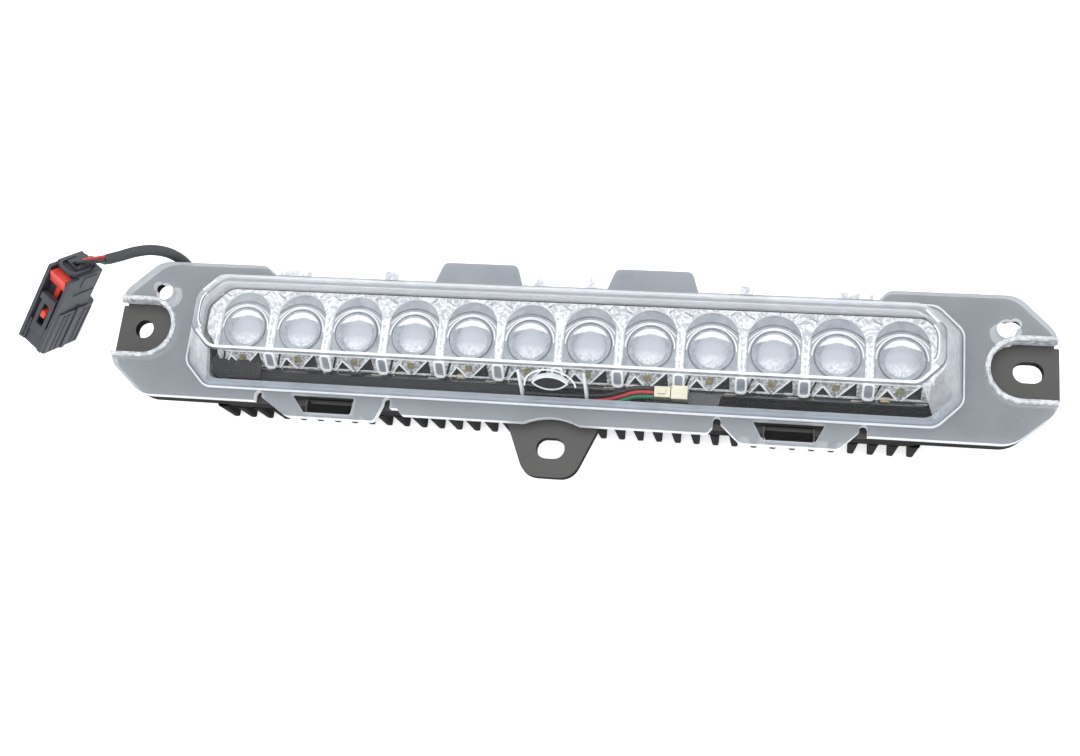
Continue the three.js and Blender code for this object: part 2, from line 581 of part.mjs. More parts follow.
// the three leads fan out of the sheath's end and into the plug; places are in the plug's own frame
plug.updateMatrix();
const sheathEnd = new THREE.Vector3(...sheathRoute[sheathRoute.length - 1]);
const fanStart = sheathEnd.applyMatrix4(plug.matrix.clone().invert());
const fanDirection = new THREE.Vector3(0.7, -0.57, 0.41).normalize();
const leads = [['black', [-0.36, 0.29, 1.2]], ['red', [-0.6, -1.05, -0.4]], ['green', [0.95, 0.7, -0.8]]];
leads.forEach(([colour, offset], i) => {
  const start = fanStart.clone().add(new THREE.Vector3(...offset)).addScaledVector(fanDirection, GAP);
  const next = start.clone().addScaledVector(fanDirection, 1.6);
  add(`outer_lead_${colour}`, tube([
    start.toArray(), next.toArray(), [-2.6, 0.5, PINS[i] - 0.4], [-1.6, 0, PINS[i]], [0.9, 0, PINS[i]],
  ], LEAD, 6, 10), colour, plug);
});

// ---------------------------------------------------------------- sealed plug
// Inside `plug`: +X from the cable end to the mating end, +Z out of the latch side.
function wedge(x0, x1, half, zLow, zHigh0, zHigh1) {
  const ring = (x, top) => [[-half, zLow, x], [half, zLow, x], [half, top, x], [-half, top, x]];
  const [a, b] = [ring(x0, zHigh0), ring(x1, zHigh1)];
  const points = [...a, ...b].map(([y, z, x]) => [x, y, z]);
  const faces = [
    0, 2, 1, 0, 3, 2, 4, 5, 6, 4, 6, 7, 0, 1, 5, 0, 5, 4,
    1, 2, 6, 1, 6, 5, 2, 3, 7, 2, 7, 6, 3, 0, 4, 3, 4, 7,
  ];
  return new wasm.Manifold(new wasm.Mesh({
    numProp: 3, vertProperties: new Float32Array(points.flat()), triVerts: new Uint32Array(faces),
  }));
}

function makePlugHousing() {
  const rear = PLUG.rear;
  const half = PLUG.half;
  const hoodShape = outline([
    [-HOOD.half, HOOD.bottom, 3], [HOOD.half, HOOD.bottom, 3],
    [HOOD.half, HOOD.top, 1], [-HOOD.half, HOOD.top, 1],
  ]);
  const hood = new THREE.ExtrudeGeometry(hoodShape, {
    depth: PLUG.length - HOOD.start, bevelEnabled: false, curveSegments: 4,
  });
  // the profile's x becomes Y and its y becomes Z
  hood.rotateX(Math.PI / 2).rotateZ(Math.PI / 2).translate(HOOD.start, 0, 0);
  let body = solid(hood).add(box(0, HOOD.start + 1, -half, half, -rear, 4.6));
  for (const s of [-1, 1]) {                       // rails that guard the latch, and a rib on the hood's side
    const y = s * (half - 0.6);
    body = body.add(box(1, PLUG.length - 1, y - RAIL.thick / 2, y + RAIL.thick / 2, RAIL.foot, RAIL.top));
    const ribY = s * (HOOD.half - 0.2);
    body = body.add(box(HOOD.start - 1, PLUG.length, ribY - 0.7, ribY + 0.7, -3.4, -1.6));
  }
  // mating hollow, the seal's seat behind it, the lead holes, and the latch's channel
  const inner = HOOD.half - HOOD.wall;
  body = body.subtract(box(24, PLUG.length + 1, -inner, inner, HOOD.bottom + HOOD.wall, 3.4));
  body = body.subtract(box(2.9, 20, -3.6, 3.6, -7.2, 3.4));
  body = body.subtract(box(-1, 3, -3.2, 3.2, -7, 3.4));
  for (const z of PINS) {
    body = body.subtract(box(19, 25, -1, 1, z - 1, z + 1));
  }
  return body.subtract(box(9.6, 34, -4.2, 4.2, 4.6, 12));
}

add('connector_housing', makePlugHousing(), 'housing', plug);

// the red lock slides forward under the latch, and its tip shows in the latch's window
const padRamp = LOCK.padEnd - 0.8;
const lock = box(LOCK.start, LOCK.padEnd, -LOCK.half, LOCK.half, LOCK.low, 6.4)
  .add(wedge(LOCK.start, padRamp, LOCK.half, 5.4, 9.6, 7.2))
  .add(box(padRamp, LOCK.end, -LOCK.bar, LOCK.bar, LOCK.low, 5.7))
  .add(box(LOCK.end - 3, LOCK.end, -LOCK.bar, LOCK.bar, LOCK.low, 8.6));
add('connector_lock', lock, 'red', plug);

// the latch bends about its front foot when its rear pad is pressed
const latch = box(LATCH.start, LATCH.end, -LATCH.half, LATCH.half, LATCH.low, LATCH.high)
  .add(box(LATCH.start, LATCH.start + 3, -LATCH.half - 0.4, LATCH.half + 0.4, LATCH.low, LATCH.high + 1.2))
  .add(box(LATCH.end - 3.2, LATCH.end, -LATCH.half, LATCH.half, LOCK.low, LATCH.high))
  .subtract(box(LATCH_WINDOW.start, LATCH_WINDOW.end, -LATCH_WINDOW.half, LATCH_WINDOW.half, 4, 10));
add('connector_latch', latch, 'housing', plug);

// leads pass through the rear cap to the terminals; the seal lies between
let rearCap = box(-1.5, 2.6, -2.9, 2.9, -6.7, 3.1);
let tower = box(25, 29, -3.4, 3.4, -7, 3);
let keeper = box(29.5, 30.6, -3.6, 3.6, -7.2, 3.1);
PINS.forEach((z, i) => {
  rearCap = rearCap.subtract(box(-3, 4, -1.1, 1.1, z - 1.1, z + 1.1));
  tower = tower.subtract(box(20, 40, -0.9, 0.9, z - 0.75, z + 0.75));
  keeper = keeper.subtract(box(20, 40, -0.9, 0.9, z - 0.75, z + 0.75));
  add(`terminal_${i + 1}`, box(8.9, 28.6, -0.55, 0.55, z - 0.4, z + 0.4), 'tin', plug);
});
add('connector_cap', rearCap, 'housing', plug);
add('connector_seal', box(3.3, 8.3, -3.3, 3.3, -6.9, 3.1), 'rubber', plug);
add('connector_tower', tower, 'housing', plug);
add('connector_keeper', keeper, 'red', plug);

export default root;
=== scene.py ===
# A third brake light: the looks of every piece of the packed model, its camera, lights and floor.
# Lengths are millimetres in the lamp's own frame (middle of the lens flange's front face) until a
# piece is finished, which places it in the row frame in metres.
import json
import math
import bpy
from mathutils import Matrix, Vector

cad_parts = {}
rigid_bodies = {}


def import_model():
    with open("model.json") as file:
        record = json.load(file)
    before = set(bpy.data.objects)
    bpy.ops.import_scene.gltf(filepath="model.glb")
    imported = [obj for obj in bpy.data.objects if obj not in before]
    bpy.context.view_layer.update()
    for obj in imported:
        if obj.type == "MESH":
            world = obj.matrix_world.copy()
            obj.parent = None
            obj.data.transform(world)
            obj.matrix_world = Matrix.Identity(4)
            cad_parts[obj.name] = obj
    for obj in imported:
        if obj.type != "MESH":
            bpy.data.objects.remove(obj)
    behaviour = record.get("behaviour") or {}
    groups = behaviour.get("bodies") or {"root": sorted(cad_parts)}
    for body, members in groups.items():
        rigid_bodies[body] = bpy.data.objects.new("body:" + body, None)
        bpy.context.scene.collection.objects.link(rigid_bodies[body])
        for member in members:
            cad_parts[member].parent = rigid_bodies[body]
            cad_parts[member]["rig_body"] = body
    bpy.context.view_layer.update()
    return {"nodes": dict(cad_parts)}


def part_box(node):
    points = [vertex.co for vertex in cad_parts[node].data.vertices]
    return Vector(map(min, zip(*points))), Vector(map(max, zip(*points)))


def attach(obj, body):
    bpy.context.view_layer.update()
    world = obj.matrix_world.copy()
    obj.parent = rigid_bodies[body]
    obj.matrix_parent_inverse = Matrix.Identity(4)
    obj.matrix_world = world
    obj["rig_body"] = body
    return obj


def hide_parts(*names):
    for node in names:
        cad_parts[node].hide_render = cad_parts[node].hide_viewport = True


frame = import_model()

from types import SimpleNamespace as Spec

import bmesh
import bpy
from mathutils import Matrix, Vector

# ---------------------------------------------------------------- driving dimensions
MM = 0.001
WHITE = (1.0, 1.0, 1.0)

FLANGE = Spec(half_x=170, top=26.6, bottom=-26.3, middle_top=23, step_x=111, thick=3)
CORNER = 13
NOTCH = Spec(half_y=10.4, tip_x=148, wall=1.7, rise=0.8)
KEY = Spec(x=153.5, y=14.4, radius=3.3, lobe=1.9, shift_x=2.9, shift_y=1.9, wider=1.6)
TAB = Spec(x=32, half_top=13.8, half_root=16.4, top=30.9)
FOOT = Spec(y=-28.5, end_x=56.2, arc_half=10, arc_top=-26.2)
CLIPS = [
    Spec(root=(-107.9, -61.9), tip=(-98, -64.4), high=(-97, -72.6), low=(-91.5, -73.4)),
    Spec(root=(59.1, 105.6), tip=(66, 99), high=(69.7, 94.6), low=(73.4, 91.2)),
]
CLIP_TIP_Y = -31.4
CLIP_WINDOW_Y = (-29.7, -22.9)
SLIT = Spec(half=1.4, y=-23.9)
TOP_CLIPS = [Spec(x=65.4, half=2.4, top=26.4), Spec(x=103, half=6, top=25.4)]
PEG = Spec(x=9.4, half=2.4, top=28.4)
MARK = Spec(xs=(142, 155), y=-19.2, radii=(4.9, 2.7), wide=0.35)
TOP_SLOT = Spec(x=66, half=7.4, y=21.9, half_y=0.95)

DOME = Spec(
    height=19.5, wall=2.4,
    base=Spec(half_x=138.5, bottom=-21.2, top=20.5, corner=8.6),
    face=Spec(half_x=131, bottom=-12.8, top=15.2, corner=8),
)
BEAD = Spec(out=1.3, height=1.1)
PORT = Spec(z=10.4, half=5.8, sagitta=3.1)

PLATE = Spec(face=-5, back=-8.5, inset=0.2, rise=0.8)
BLOCK = Spec(half_x=137.4, foot_x=135.4, bottom=-24.9, top=22.4, back=-14.6, corner=9)
TRAY = Spec(half_x=133.6, bottom=-19.6, top=18.4, floor=-11.6, corner=7.4)
FIN = Spec(count=38, first_x=-128.5, pitch=6.86, root=3.7, tip=2.2, bottom=-25.7, top=21.2, end_z=-30)
EAR = Spec(slot_y=-36.2, bottom=-46.6, half_root=16.6, half_foot=8.6, shoulder=-27.5)
END_EAR = Spec(x=171.4, half_y=9.7)
HOLE = Spec(x=161.3, y=0.6, radius=3.6, slot_half=1.35, slot_radius=3.75)

BOARD = Spec(half_x=129, bottom=-12.4, top=15.6, face=-9.1, thick=1.6, tongue=(30.5, 58.5), tongue_y=-16.2)
LED = Spec(half=1.75, lens=[(0, 0.5), (1.3, 0.5), (1.3, 0.75), (1.1, 0.95), (0.7, 1.07), (0, 1.1)])
CELLS = Spec(count=12, pitch=21.7, y=1.8)
OPTIC = Spec(rim=8.1, top=-0.4, foot=-6.9)
HIGHLIGHT_CRESCENT = Spec(outer=7.3, inner=10.2, shift=4.7)         # two circles round the painted highlight on a cell's wall
WEB = Spec(half_x=134, bottom=-7.6, top=16.8, corner=7.2, front=-0.5, thick=2.2)
ARCH = Spec(half=9.35, top=15.9, depth=1.2)
RAY = Spec(step=13, jog=4, fan=1.4, short=2.6, long=3.6, half=0.22)     # the ribs above each arch
SKIRT = Spec(low=(-11.2, -7.4), high=(-6.6, -0.9))       # (y, z) of the collimators' lower front edges

SHEATH = 4.2
LEAD = 1.5
GROMMET = Spec(x=-128.8, y=5)
PLUG = Spec(at=(-188.3, 21.5, 5.2), heading=-135.4, droop=38.2, roll=-15, length=40, pins=(1.6, -1.8, -5.2))
HOOD = Spec(start=18.5, half=6.4)

# ---------------------------------------------------------------- spaces
lens_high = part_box("outer_lens")[1]
ORIGIN = Vector((0, lens_high.y - TAB.top * MM, lens_high.z - DOME.height * MM))
LAMP = Matrix.Translation(ORIGIN) @ Matrix.Scale(MM, 4)
PLUG_PLACE = (
    Matrix.Translation(PLUG.at)
    @ Matrix.Rotation(math.radians(PLUG.heading), 4, "Z")
    @ Matrix.Rotation(math.radians(PLUG.droop), 4, "Y")
    @ Matrix.Rotation(math.radians(PLUG.roll), 4, "X")
)
IN_PLUG = LAMP @ PLUG_PLACE

skirt_up = Vector((0, *SKIRT.high)) - Vector((0, *SKIRT.low))
SKIRT.length = skirt_up.length
SKIRT_PLACE = Matrix.Translation((0, *SKIRT.low)) @ Matrix((
    Vector((1, 0, 0)), skirt_up.normalized(), Vector((1, 0, 0)).cross(skirt_up.normalized()),
)).transposed().to_4x4()

cell_x = [(i - (CELLS.count - 1) / 2) * CELLS.pitch for i in range(CELLS.count)]


# ---------------------------------------------------------------- camera and cord
def make_camera():
    """The eye is above the lamp and in front of its lower edge; up is close to the lamp's own up."""
    data = bpy.data.cameras.new("camera")
    data.lens = 43.33
    data.sensor_width = 36
    data.clip_end = 10
    eye = LAMP @ Vector((74.38, -142.84, 436.18))
    back = Vector((0.1726, -0.2830, 0.9434)).normalized()
    right = Vector((-0.0528, 0.9538, 0.2958)).cross(back).normalized()
    up = back.cross(right)
    camera = bpy.data.objects.new("camera", data)
    camera.matrix_world = Matrix.Translation(eye) @ Matrix((right, up, back)).transposed().to_4x4()
    bpy.context.collection.objects.link(camera)
    bpy.context.scene.camera = camera


def between(a, b, low, high, s):
    return a + (b - a) * ((s - low) / (high - low))


def through(points, steps=8):
    """Points of a centripetal Catmull-Rom curve through the given ones."""
    knots = [Vector(p) for p in points]
    knots = [2 * knots[0] - knots[1], *knots, 2 * knots[-1] - knots[-2]]
    route = [knots[1]]
    for p in zip(knots, knots[1:], knots[2:], knots[3:]):
        t = [0.0]
        for a, b in zip(p, p[1:]):
            t.append(t[-1] + (b - a).length ** 0.5)
        for k in range(1, steps + 1):
            s = t[1] + (t[2] - t[1]) * k / steps
            first = [between(p[i], p[i + 1], t[i], t[i + 1], s) for i in range(3)]
            second = [between(first[i], first[i + 1], t[i], t[i + 2], s) for i in range(2)]
            route.append(between(*second, t[1], t[2], s))
    return route


def make_wire(name, points, diameter, material, space=LAMP, node=None):
    """A round wire along a smooth route, as a curve with a round section and closed ends."""
    curve = bpy.data.curves.new(name, "CURVE")
    curve.dimensions = "3D"
    curve.bevel_depth = diameter / 2 * MM
    curve.bevel_resolution = 5
    curve.use_fill_caps = True
    route = through(points)
    spline = curve.splines.new("POLY")
    spline.points.add(len(route) - 1)
    for place, point in zip(spline.points, route):
        place.co = (*(space @ point), 1)
    spline.use_smooth = True
    wire = bpy.data.objects.new(name, curve)
    bpy.context.collection.objects.link(wire)
    curve.materials.append(material)
    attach(wire, "lamp")
    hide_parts(node or name.replace("_wire", ""))
    return wire


# ---------------------------------------------------------------- materials
def mottle(tree, scale, detail=3.0, warp=0.0):
    """Noise with scale blotches to the metre over the piece; warp draws them into swirls."""
    coordinates = tree.nodes.new("ShaderNodeTexCoord")
    noise = tree.nodes.new("ShaderNodeTexNoise")
    noise.inputs["Scale"].default_value = scale
    noise.inputs["Detail"].default_value = detail
    noise.inputs["Distortion"].default_value = warp
    tree.links.new(coordinates.outputs["Object"], noise.inputs["Vector"])
    return noise.outputs["Fac"]


def ranged(tree, value, low, high, near=0.3, far=0.7):
    span = tree.nodes.new("ShaderNodeMapRange")
    span.inputs["From Min"].default_value = near
    span.inputs["From Max"].default_value = far
    span.inputs["To Min"].default_value = low
    span.inputs["To Max"].default_value = high
    tree.links.new(value, span.inputs["Value"])
    return span.outputs["Result"]


def coloured(tree, value, low, high, near=0.3, far=0.7):
    ramp = tree.nodes.new("ShaderNodeValToRGB")
    first, last = ramp.color_ramp.elements
    first.position, last.position = near, far
    first.color, last.color = (*low, 1), (*high, 1)
    tree.links.new(value, ramp.inputs["Fac"])
    return ramp.outputs["Color"]


def embossed(tree, value, depth, strength=0.6):
    """A bump as deep as depth, in millimetres."""
    bump = tree.nodes.new("ShaderNodeBump")
    bump.inputs["Strength"].default_value = strength
    bump.inputs["Distance"].default_value = depth * MM
    tree.links.new(value, bump.inputs["Height"])
    return bump.outputs["Normal"]


def opaque(name, low, high, rough=(0.4, 0.55), blotch=120, grain=2500, depth=0.02, warp=0.0, spread=0.2,
           **sockets):
    """Mottled colour, uneven gloss and a fine grain in relief; a small spread makes the colour crisp."""
    material = bpy.data.materials.new(name)
    material.use_nodes = True
    tree = material.node_tree
    shader = tree.nodes["Principled BSDF"]
    patches = mottle(tree, blotch, 4, warp)
    colour = coloured(tree, patches, low, high, 0.5 - spread, 0.5 + spread)
    tree.links.new(colour, shader.inputs["Base Color"])
    tree.links.new(ranged(tree, patches, *rough), shader.inputs["Roughness"])
    tree.links.new(embossed(tree, mottle(tree, grain, 2), depth), shader.inputs["Normal"])
    for socket, value in sockets.items():
        shader.inputs[socket.replace("_", " ")].default_value = value
    return material


def hazy(name, low, high, haze, rim, rough=(0.08, 0.2), blotch=90, grain=500, depth=0.02, near=0.1, warp=0.0,
         spread=0.2, painted_glow=0.0):
    """Clear plastic that scatters some light: haze of it is solid face on, and rim of it edge on.

    The last argument is painted light: an emission in the high colour that makes the piece glow, standing in
    for the light that facets bring forward from behind it.
    """
    material = opaque(name, low, high, rough, blotch, grain, depth, warp, spread, IOR=1.49,
                      Emission_Color=(*high, 1), Emission_Strength=painted_glow)
    tree = material.node_tree
    shader = tree.nodes["Principled BSDF"]
    glow = tree.nodes.new("ShaderNodeBsdfTranslucent")
    glow.inputs["Color"].default_value = (*high, 1)
    solid = tree.nodes.new("ShaderNodeMixShader")
    solid.inputs["Fac"].default_value = 0.3
    clear = tree.nodes.new("ShaderNodeBsdfTransparent")
    weight = tree.nodes.new("ShaderNodeLayerWeight")
    weight.inputs["Blend"].default_value = 0.5
    mix = tree.nodes.new("ShaderNodeMixShader")
    tree.links.new(shader.outputs["BSDF"], solid.inputs[1])
    tree.links.new(glow.outputs["BSDF"], solid.inputs[2])
    tree.links.new(ranged(tree, weight.outputs["Facing"], haze, rim, near, 0.95), mix.inputs["Fac"])
    tree.links.new(clear.outputs["BSDF"], mix.inputs[1])
    tree.links.new(solid.outputs["Shader"], mix.inputs[2])
    tree.links.new(mix.outputs["Shader"], tree.nodes["Material Output"].inputs["Surface"])
    return material


def graded(name, body, pale):
    """The collimators' inner lenses: grey, with a painted reflection paling them towards their lower edge."""
    material = opaque(name, body, pale, (0.05, 0.15), 300, 500, 0.02, IOR=1.49)
    tree = material.node_tree
    coordinates = tree.nodes.new("ShaderNodeTexCoord")
    split = tree.nodes.new("ShaderNodeSeparateXYZ")
    tree.links.new(coordinates.outputs["Object"], split.inputs["Vector"])
    # Painted reflection: the colour pales towards the lower edge, where the lens faces the bright floor.
    middle = ORIGIN.y + CELLS.y * MM
    height = ranged(tree, split.outputs["Y"], 1, 0, middle - 6 * MM, middle - 0.5 * MM)
    uneven = tree.nodes.new("ShaderNodeMath")
    uneven.operation = "MULTIPLY"
    tree.links.new(height, uneven.inputs[0])
    tree.links.new(ranged(tree, mottle(tree, 450, 3, 2.5), 0.2, 1.5), uneven.inputs[1])
    tree.links.new(coloured(tree, uneven.outputs["Value"], body, pale, 0, 1),
                   tree.nodes["Principled BSDF"].inputs["Base Color"])
    return material


def insulation(colour, low, high):
    return opaque(f"{colour}_insulation", low, high, (0.3, 0.45), 200, 2500, 0.01)


def make_materials():
    grey_casting = opaque("casting_face", (0.060, 0.058, 0.055), (0.082, 0.079, 0.075), (0.5, 0.65), 60, 1500,
                          0.05, Metallic=0.2)
    return Spec(
        pane=hazy("dome_front", (0.80, 0.84, 0.88), WHITE, 0.05, 0.5, blotch=160),
        wall_pane=hazy("dome_wall", (0.78, 0.82, 0.87), WHITE, 0.02, 0.5, blotch=140, near=0.45),
        # Painted light: the dome's ends and upper wall are whiter copies of its wall; the ends' swirled
        # patches are painted glints.
        end_pane=hazy("dome_end_wall_painted_light", (0.74, 0.78, 0.83), WHITE, 0.12, 0.65, (0.05, 0.2), 160, 160, 1.0,
                      warp=2.5, spread=0.1),
        crown=hazy("dome_upper_wall_painted_light", (0.74, 0.78, 0.85), (0.98, 0.99, 1.0), 0.16, 0.55, (0.05, 0.2), 150,
                   200, 0.15, warp=1.0, spread=0.15),
        # Painted shade: the grey edge and the dark line, standing in for the light that the dome's thick
        # clear walls bend at its edges.
        edge=hazy("dome_edge_painted_shade", (0.27, 0.29, 0.33), (0.52, 0.56, 0.62), 0.7, 0.85, blotch=140),
        line=hazy("dome_line_painted_shade", (0.06, 0.065, 0.08), (0.22, 0.24, 0.27), 0.75, 0.9, blotch=200),
        foot=hazy("dome_foot", (0.40, 0.44, 0.49), (0.56, 0.60, 0.66), 0.85, 0.95, blotch=120),
        flange=hazy("flange_plastic", (0.36, 0.38, 0.41), (0.41, 0.43, 0.46), 0.6, 0.8, (0.3, 0.45)),
        # Painted glints: white swirls in the lip's colour.
        lip=hazy("notch_lip_painted_glints", (0.40, 0.43, 0.48), WHITE, 0.78, 0.95, (0.05, 0.2), 200, 220, 0.8, warp=2.5,
                 spread=0.1),
        # Painted highlight: cut and rounded edges of the clear plastic are coloured near white for the light
        # they catch.
        rim=hazy("edge_painted_highlight", (0.86, 0.89, 0.93), WHITE, 0.82, 0.97, (0.1, 0.3), 400, 900, 0.05),
        tab=hazy("tab_plastic", (0.29, 0.31, 0.34), (0.35, 0.37, 0.405), 0.9, 0.97, (0.25, 0.4)),
        disc=graded("optic_disc_painted_reflection", (0.40, 0.42, 0.46), (0.86, 0.88, 0.91)),
        mirror=hazy("optic_mirror", (0.34, 0.36, 0.41), (0.72, 0.75, 0.80), 0.93, 0.97, (0.05, 0.15), 350,
                    warp=2.0),
        # Painted highlight: the bright half-moon on each cell's upper wall, near white and glowing.
        crescent=hazy("optic_crescent_painted_highlight", (0.93, 0.95, 0.97), WHITE, 0.95, 0.98, (0.1, 0.2), 300, painted_glow=0.4),
        # Painted highlight: near white and glowing, for the bright walls, ribs, strokes and bands of the
        # clear plastic.
        wall=hazy("optic_wall_painted_highlight", (0.90, 0.92, 0.94), WHITE, 0.9, 0.98, (0.05, 0.2), 300, painted_glow=0.15),
        # Painted shade: dark arcs at the cells' rims and round the recesses.
        arc=hazy("optic_arc_painted_shade", (0.12, 0.13, 0.15), (0.30, 0.32, 0.36), 0.9, 0.95, (0.05, 0.2), 300),
        cup=hazy("optic_cup", (0.33, 0.355, 0.40), (0.56, 0.59, 0.64), 0.92, 0.95, (0.05, 0.15), 200,
                 warp=1.0),
        # Painted glints: crisp white swirls on the web, which also glows a little.
        web=hazy("optic_web_painted_glints", (0.40, 0.43, 0.48), WHITE, 0.92, 0.96, (0.05, 0.25), 230, 180, 1.5, warp=3.0,
                 spread=0.07, painted_glow=0.12),
        # Painted highlights: crisp white swirls on a dark ground, with a faint glow.
        skirt=hazy("optic_skirt_painted_highlights", (0.16, 0.175, 0.20), WHITE, 0.85, 0.97, (0.05, 0.25), 330, 300, 1.0,
                   warp=3.0, spread=0.08, painted_glow=0.05),
        # Painted image: amber patches on the skirt for the diodes seen through it.
        amber=hazy("diode_image_painted", (0.22, 0.19, 0.10), (0.55, 0.50, 0.33), 0.9, 0.95, blotch=500, warp=1.0),
        cone=hazy("optic_cone", (0.5, 0.54, 0.58), (0.98, 0.99, 1.0), 0.38, 1.0, (0.05, 0.2), 260, 300, 0.3),
        casting=grey_casting,
        # Painted shade: the same casting as casting_face, made near black where it lies in shade.
        fins=opaque("casting_back_painted_shade", (0.007, 0.006, 0.006), (0.015, 0.014, 0.014), (0.6, 0.8), 80, 1500, 0.06,
                    Specular_IOR_Level=0.05),
        rubber=opaque("seal_rubber", (0.012, 0.012, 0.013), (0.022, 0.022, 0.023), (0.7, 0.9), 200, 3000),
        board=opaque("solder_mask", (0.010, 0.013, 0.016), (0.024, 0.029, 0.033), (0.25, 0.4), 90, 1200, 0.01,
                     Coat_Weight=0.3),
        pad=opaque("thermal_pad", (0.24, 0.30, 0.38), (0.32, 0.40, 0.48), (0.85, 0.95), 200, 2500),
        copper=opaque("tinned_copper", (0.42, 0.38, 0.30), (0.62, 0.58, 0.50), (0.25, 0.4), 300, 2500, 0.01,
                      Metallic=0.9),
        ceramic=opaque("bare_ceramic", (0.42, 0.29, 0.14), (0.58, 0.43, 0.26), (0.4, 0.6), 300, 4000, 0.01),
        diode=opaque("diode_ceramic", (0.75, 0.73, 0.62), (0.86, 0.84, 0.74), (0.4, 0.55), 500, 4000, 0.01),
        phosphor=opaque("diode_phosphor", (0.62, 0.52, 0.16), (0.78, 0.68, 0.26), (0.15, 0.3), 700, 3000,
                        0.01, Coat_Weight=0.6),
        epoxy=opaque("black_epoxy", (0.012, 0.012, 0.014), (0.028, 0.028, 0.031), (0.4, 0.55), 300, 4500,
                     0.02),
        steel=opaque("zinc_plate", (0.42, 0.42, 0.43), (0.58, 0.58, 0.59), (0.25, 0.4), 300, 2500, 0.02,
                     Metallic=1),
        ivory=opaque("ivory_nylon", (0.70, 0.66, 0.48), (0.82, 0.78, 0.62), (0.4, 0.55), 200, 2500, 0.02),
        red_wire=insulation("red", (0.42, 0.02, 0.02), (0.58, 0.04, 0.035)),
        green_wire=insulation("green", (0.006, 0.15, 0.075), (0.012, 0.24, 0.12)),
        black_wire=insulation("black", (0.012, 0.012, 0.013), (0.026, 0.026, 0.028)),
        sheath=opaque("cable_tubing", (0.035, 0.036, 0.038), (0.058, 0.06, 0.063), (0.6, 0.8), 150, 1500,
                      0.05),
        plug=opaque("plug_plastic", (0.032, 0.035, 0.043), (0.052, 0.056, 0.066), (0.45, 0.62), 150, 1800,
                    0.05),
        red=opaque("red_plastic", (0.55, 0.035, 0.022), (0.74, 0.06, 0.035), (0.35, 0.5), 150, 1800, 0.03),
        tin=opaque("tin_plate", (0.5, 0.48, 0.42), (0.66, 0.64, 0.56), (0.3, 0.45), 300, 2500, 0.02,
                   Metallic=1),
        floor=opaque("floor_paper", (0.93, 0.93, 0.93), (0.95, 0.95, 0.95), (0.8, 0.9), 3, 600, 0.02,
                     Emission_Color=(1, 1, 1, 1), Emission_Strength=0.6),
    )


# ---------------------------------------------------------------- outlines in the plane
def arc(x, y, radius, start, end, steps=12):
    """Points on a circle from start to end, in degrees."""
    angles = [math.radians(start + (end - start) * i / steps) for i in range(steps + 1)]
    return [(x + radius * math.cos(a), y + radius * math.sin(a)) for a in angles]


def circle(x, y, radius, steps=32):
    return arc(x, y, radius, 0, 360, steps)[:-1]


def rounded(corners, steps=5):
    """A loop through corners (x, y) or (x, y, how far from the corner its rounding starts)."""
    loop = []
    for i, (x, y, *rest) in enumerate(corners):
        if not rest:
            loop.append((x, y))
            continue
        here = Vector((x, y))
        ends = [Vector(corners[j % len(corners)][:2]) for j in (i - 1, i + 1)]
        start, end = [here + (other - here).normalized() * rest[0] for other in ends]
        for k in range(steps + 1):
            t = k / steps
            loop.append(tuple(start * (1 - t) ** 2 + 2 * here * t * (1 - t) + end * t * t))
    return loop


def rectangle(x0, x1, y0, y1, soft, steps):
    return rounded([(x0, y0, soft), (x1, y0, soft), (x1, y1, soft), (x0, y1, soft)], steps)


def stroke(low, high, half):
    """A slanted bar between two points (x, y), cut level at both ends."""
    (x0, y0), (x1, y1) = low, high
    return [(x0 - half, y0), (x0 + half, y0), (x1 + half, y1), (x1 - half, y1)]


def mirrored(loop):
    return [(-p[0], *p[1:]) for p in reversed(loop)]


def slot_loop(x, y, half, radius):
    return arc(x + half, y, radius, -90, 90) + arc(x - half, y, radius, 90, 270)


def key_loop(grow=0.0):
    """The locating hole: a round hole with a smaller one run into its outer upper side."""
    radius, lobe_radius = KEY.radius + grow, KEY.lobe + grow
    reach = math.hypot(KEY.shift_x, KEY.shift_y)
    lean = math.degrees(math.atan2(KEY.shift_y, KEY.shift_x))
    big = math.degrees(math.acos((radius**2 + reach**2 - lobe_radius**2) / (2 * radius * reach)))
    small = math.degrees(math.acos((lobe_radius**2 + reach**2 - radius**2) / (2 * lobe_radius * reach)))
    main = arc(KEY.x, KEY.y, radius, lean + big, lean + 360 - big, 24)
    x, y = KEY.x + KEY.shift_x, KEY.y + KEY.shift_y
    lobe = arc(x, y, lobe_radius, lean + small - 180, lean + 180 - small, 14)
    return main + lobe[1:-1]


def ring(spec, grow=0.0, soft=5.0, steps=5):
    """A rectangle with its corners cut off and softened; every ring has as many points."""
    x = spec.half_x + grow
    low, high = spec.bottom - grow, spec.top + grow
    cut = spec.corner + 0.4 * grow
    soft = min(soft, 0.6 * cut)
    side = [(x - cut, low, soft), (x, low + cut, soft), (x, high - cut, soft), (x - cut, high, soft)]
    return rounded(side + mirrored(side), steps)


def notch_loop(grow, out=FLANGE.half_x):
    """The end notch as a U, from its lower mouth round the tip to its upper mouth."""
    radius = NOTCH.half_y + grow
    centre = NOTCH.tip_x + NOTCH.half_y
    return [(out, -radius), *arc(centre, 0, radius, 270, 90, 28), (out, radius)]


def window_loop(clip):
    low, high = CLIP_WINDOW_Y
    return rounded([
        (clip.low[0], low, 1), (clip.low[1], low, 1), (clip.high[1], high, 0.8), (clip.high[0], high, 0.8),
    ], 4)


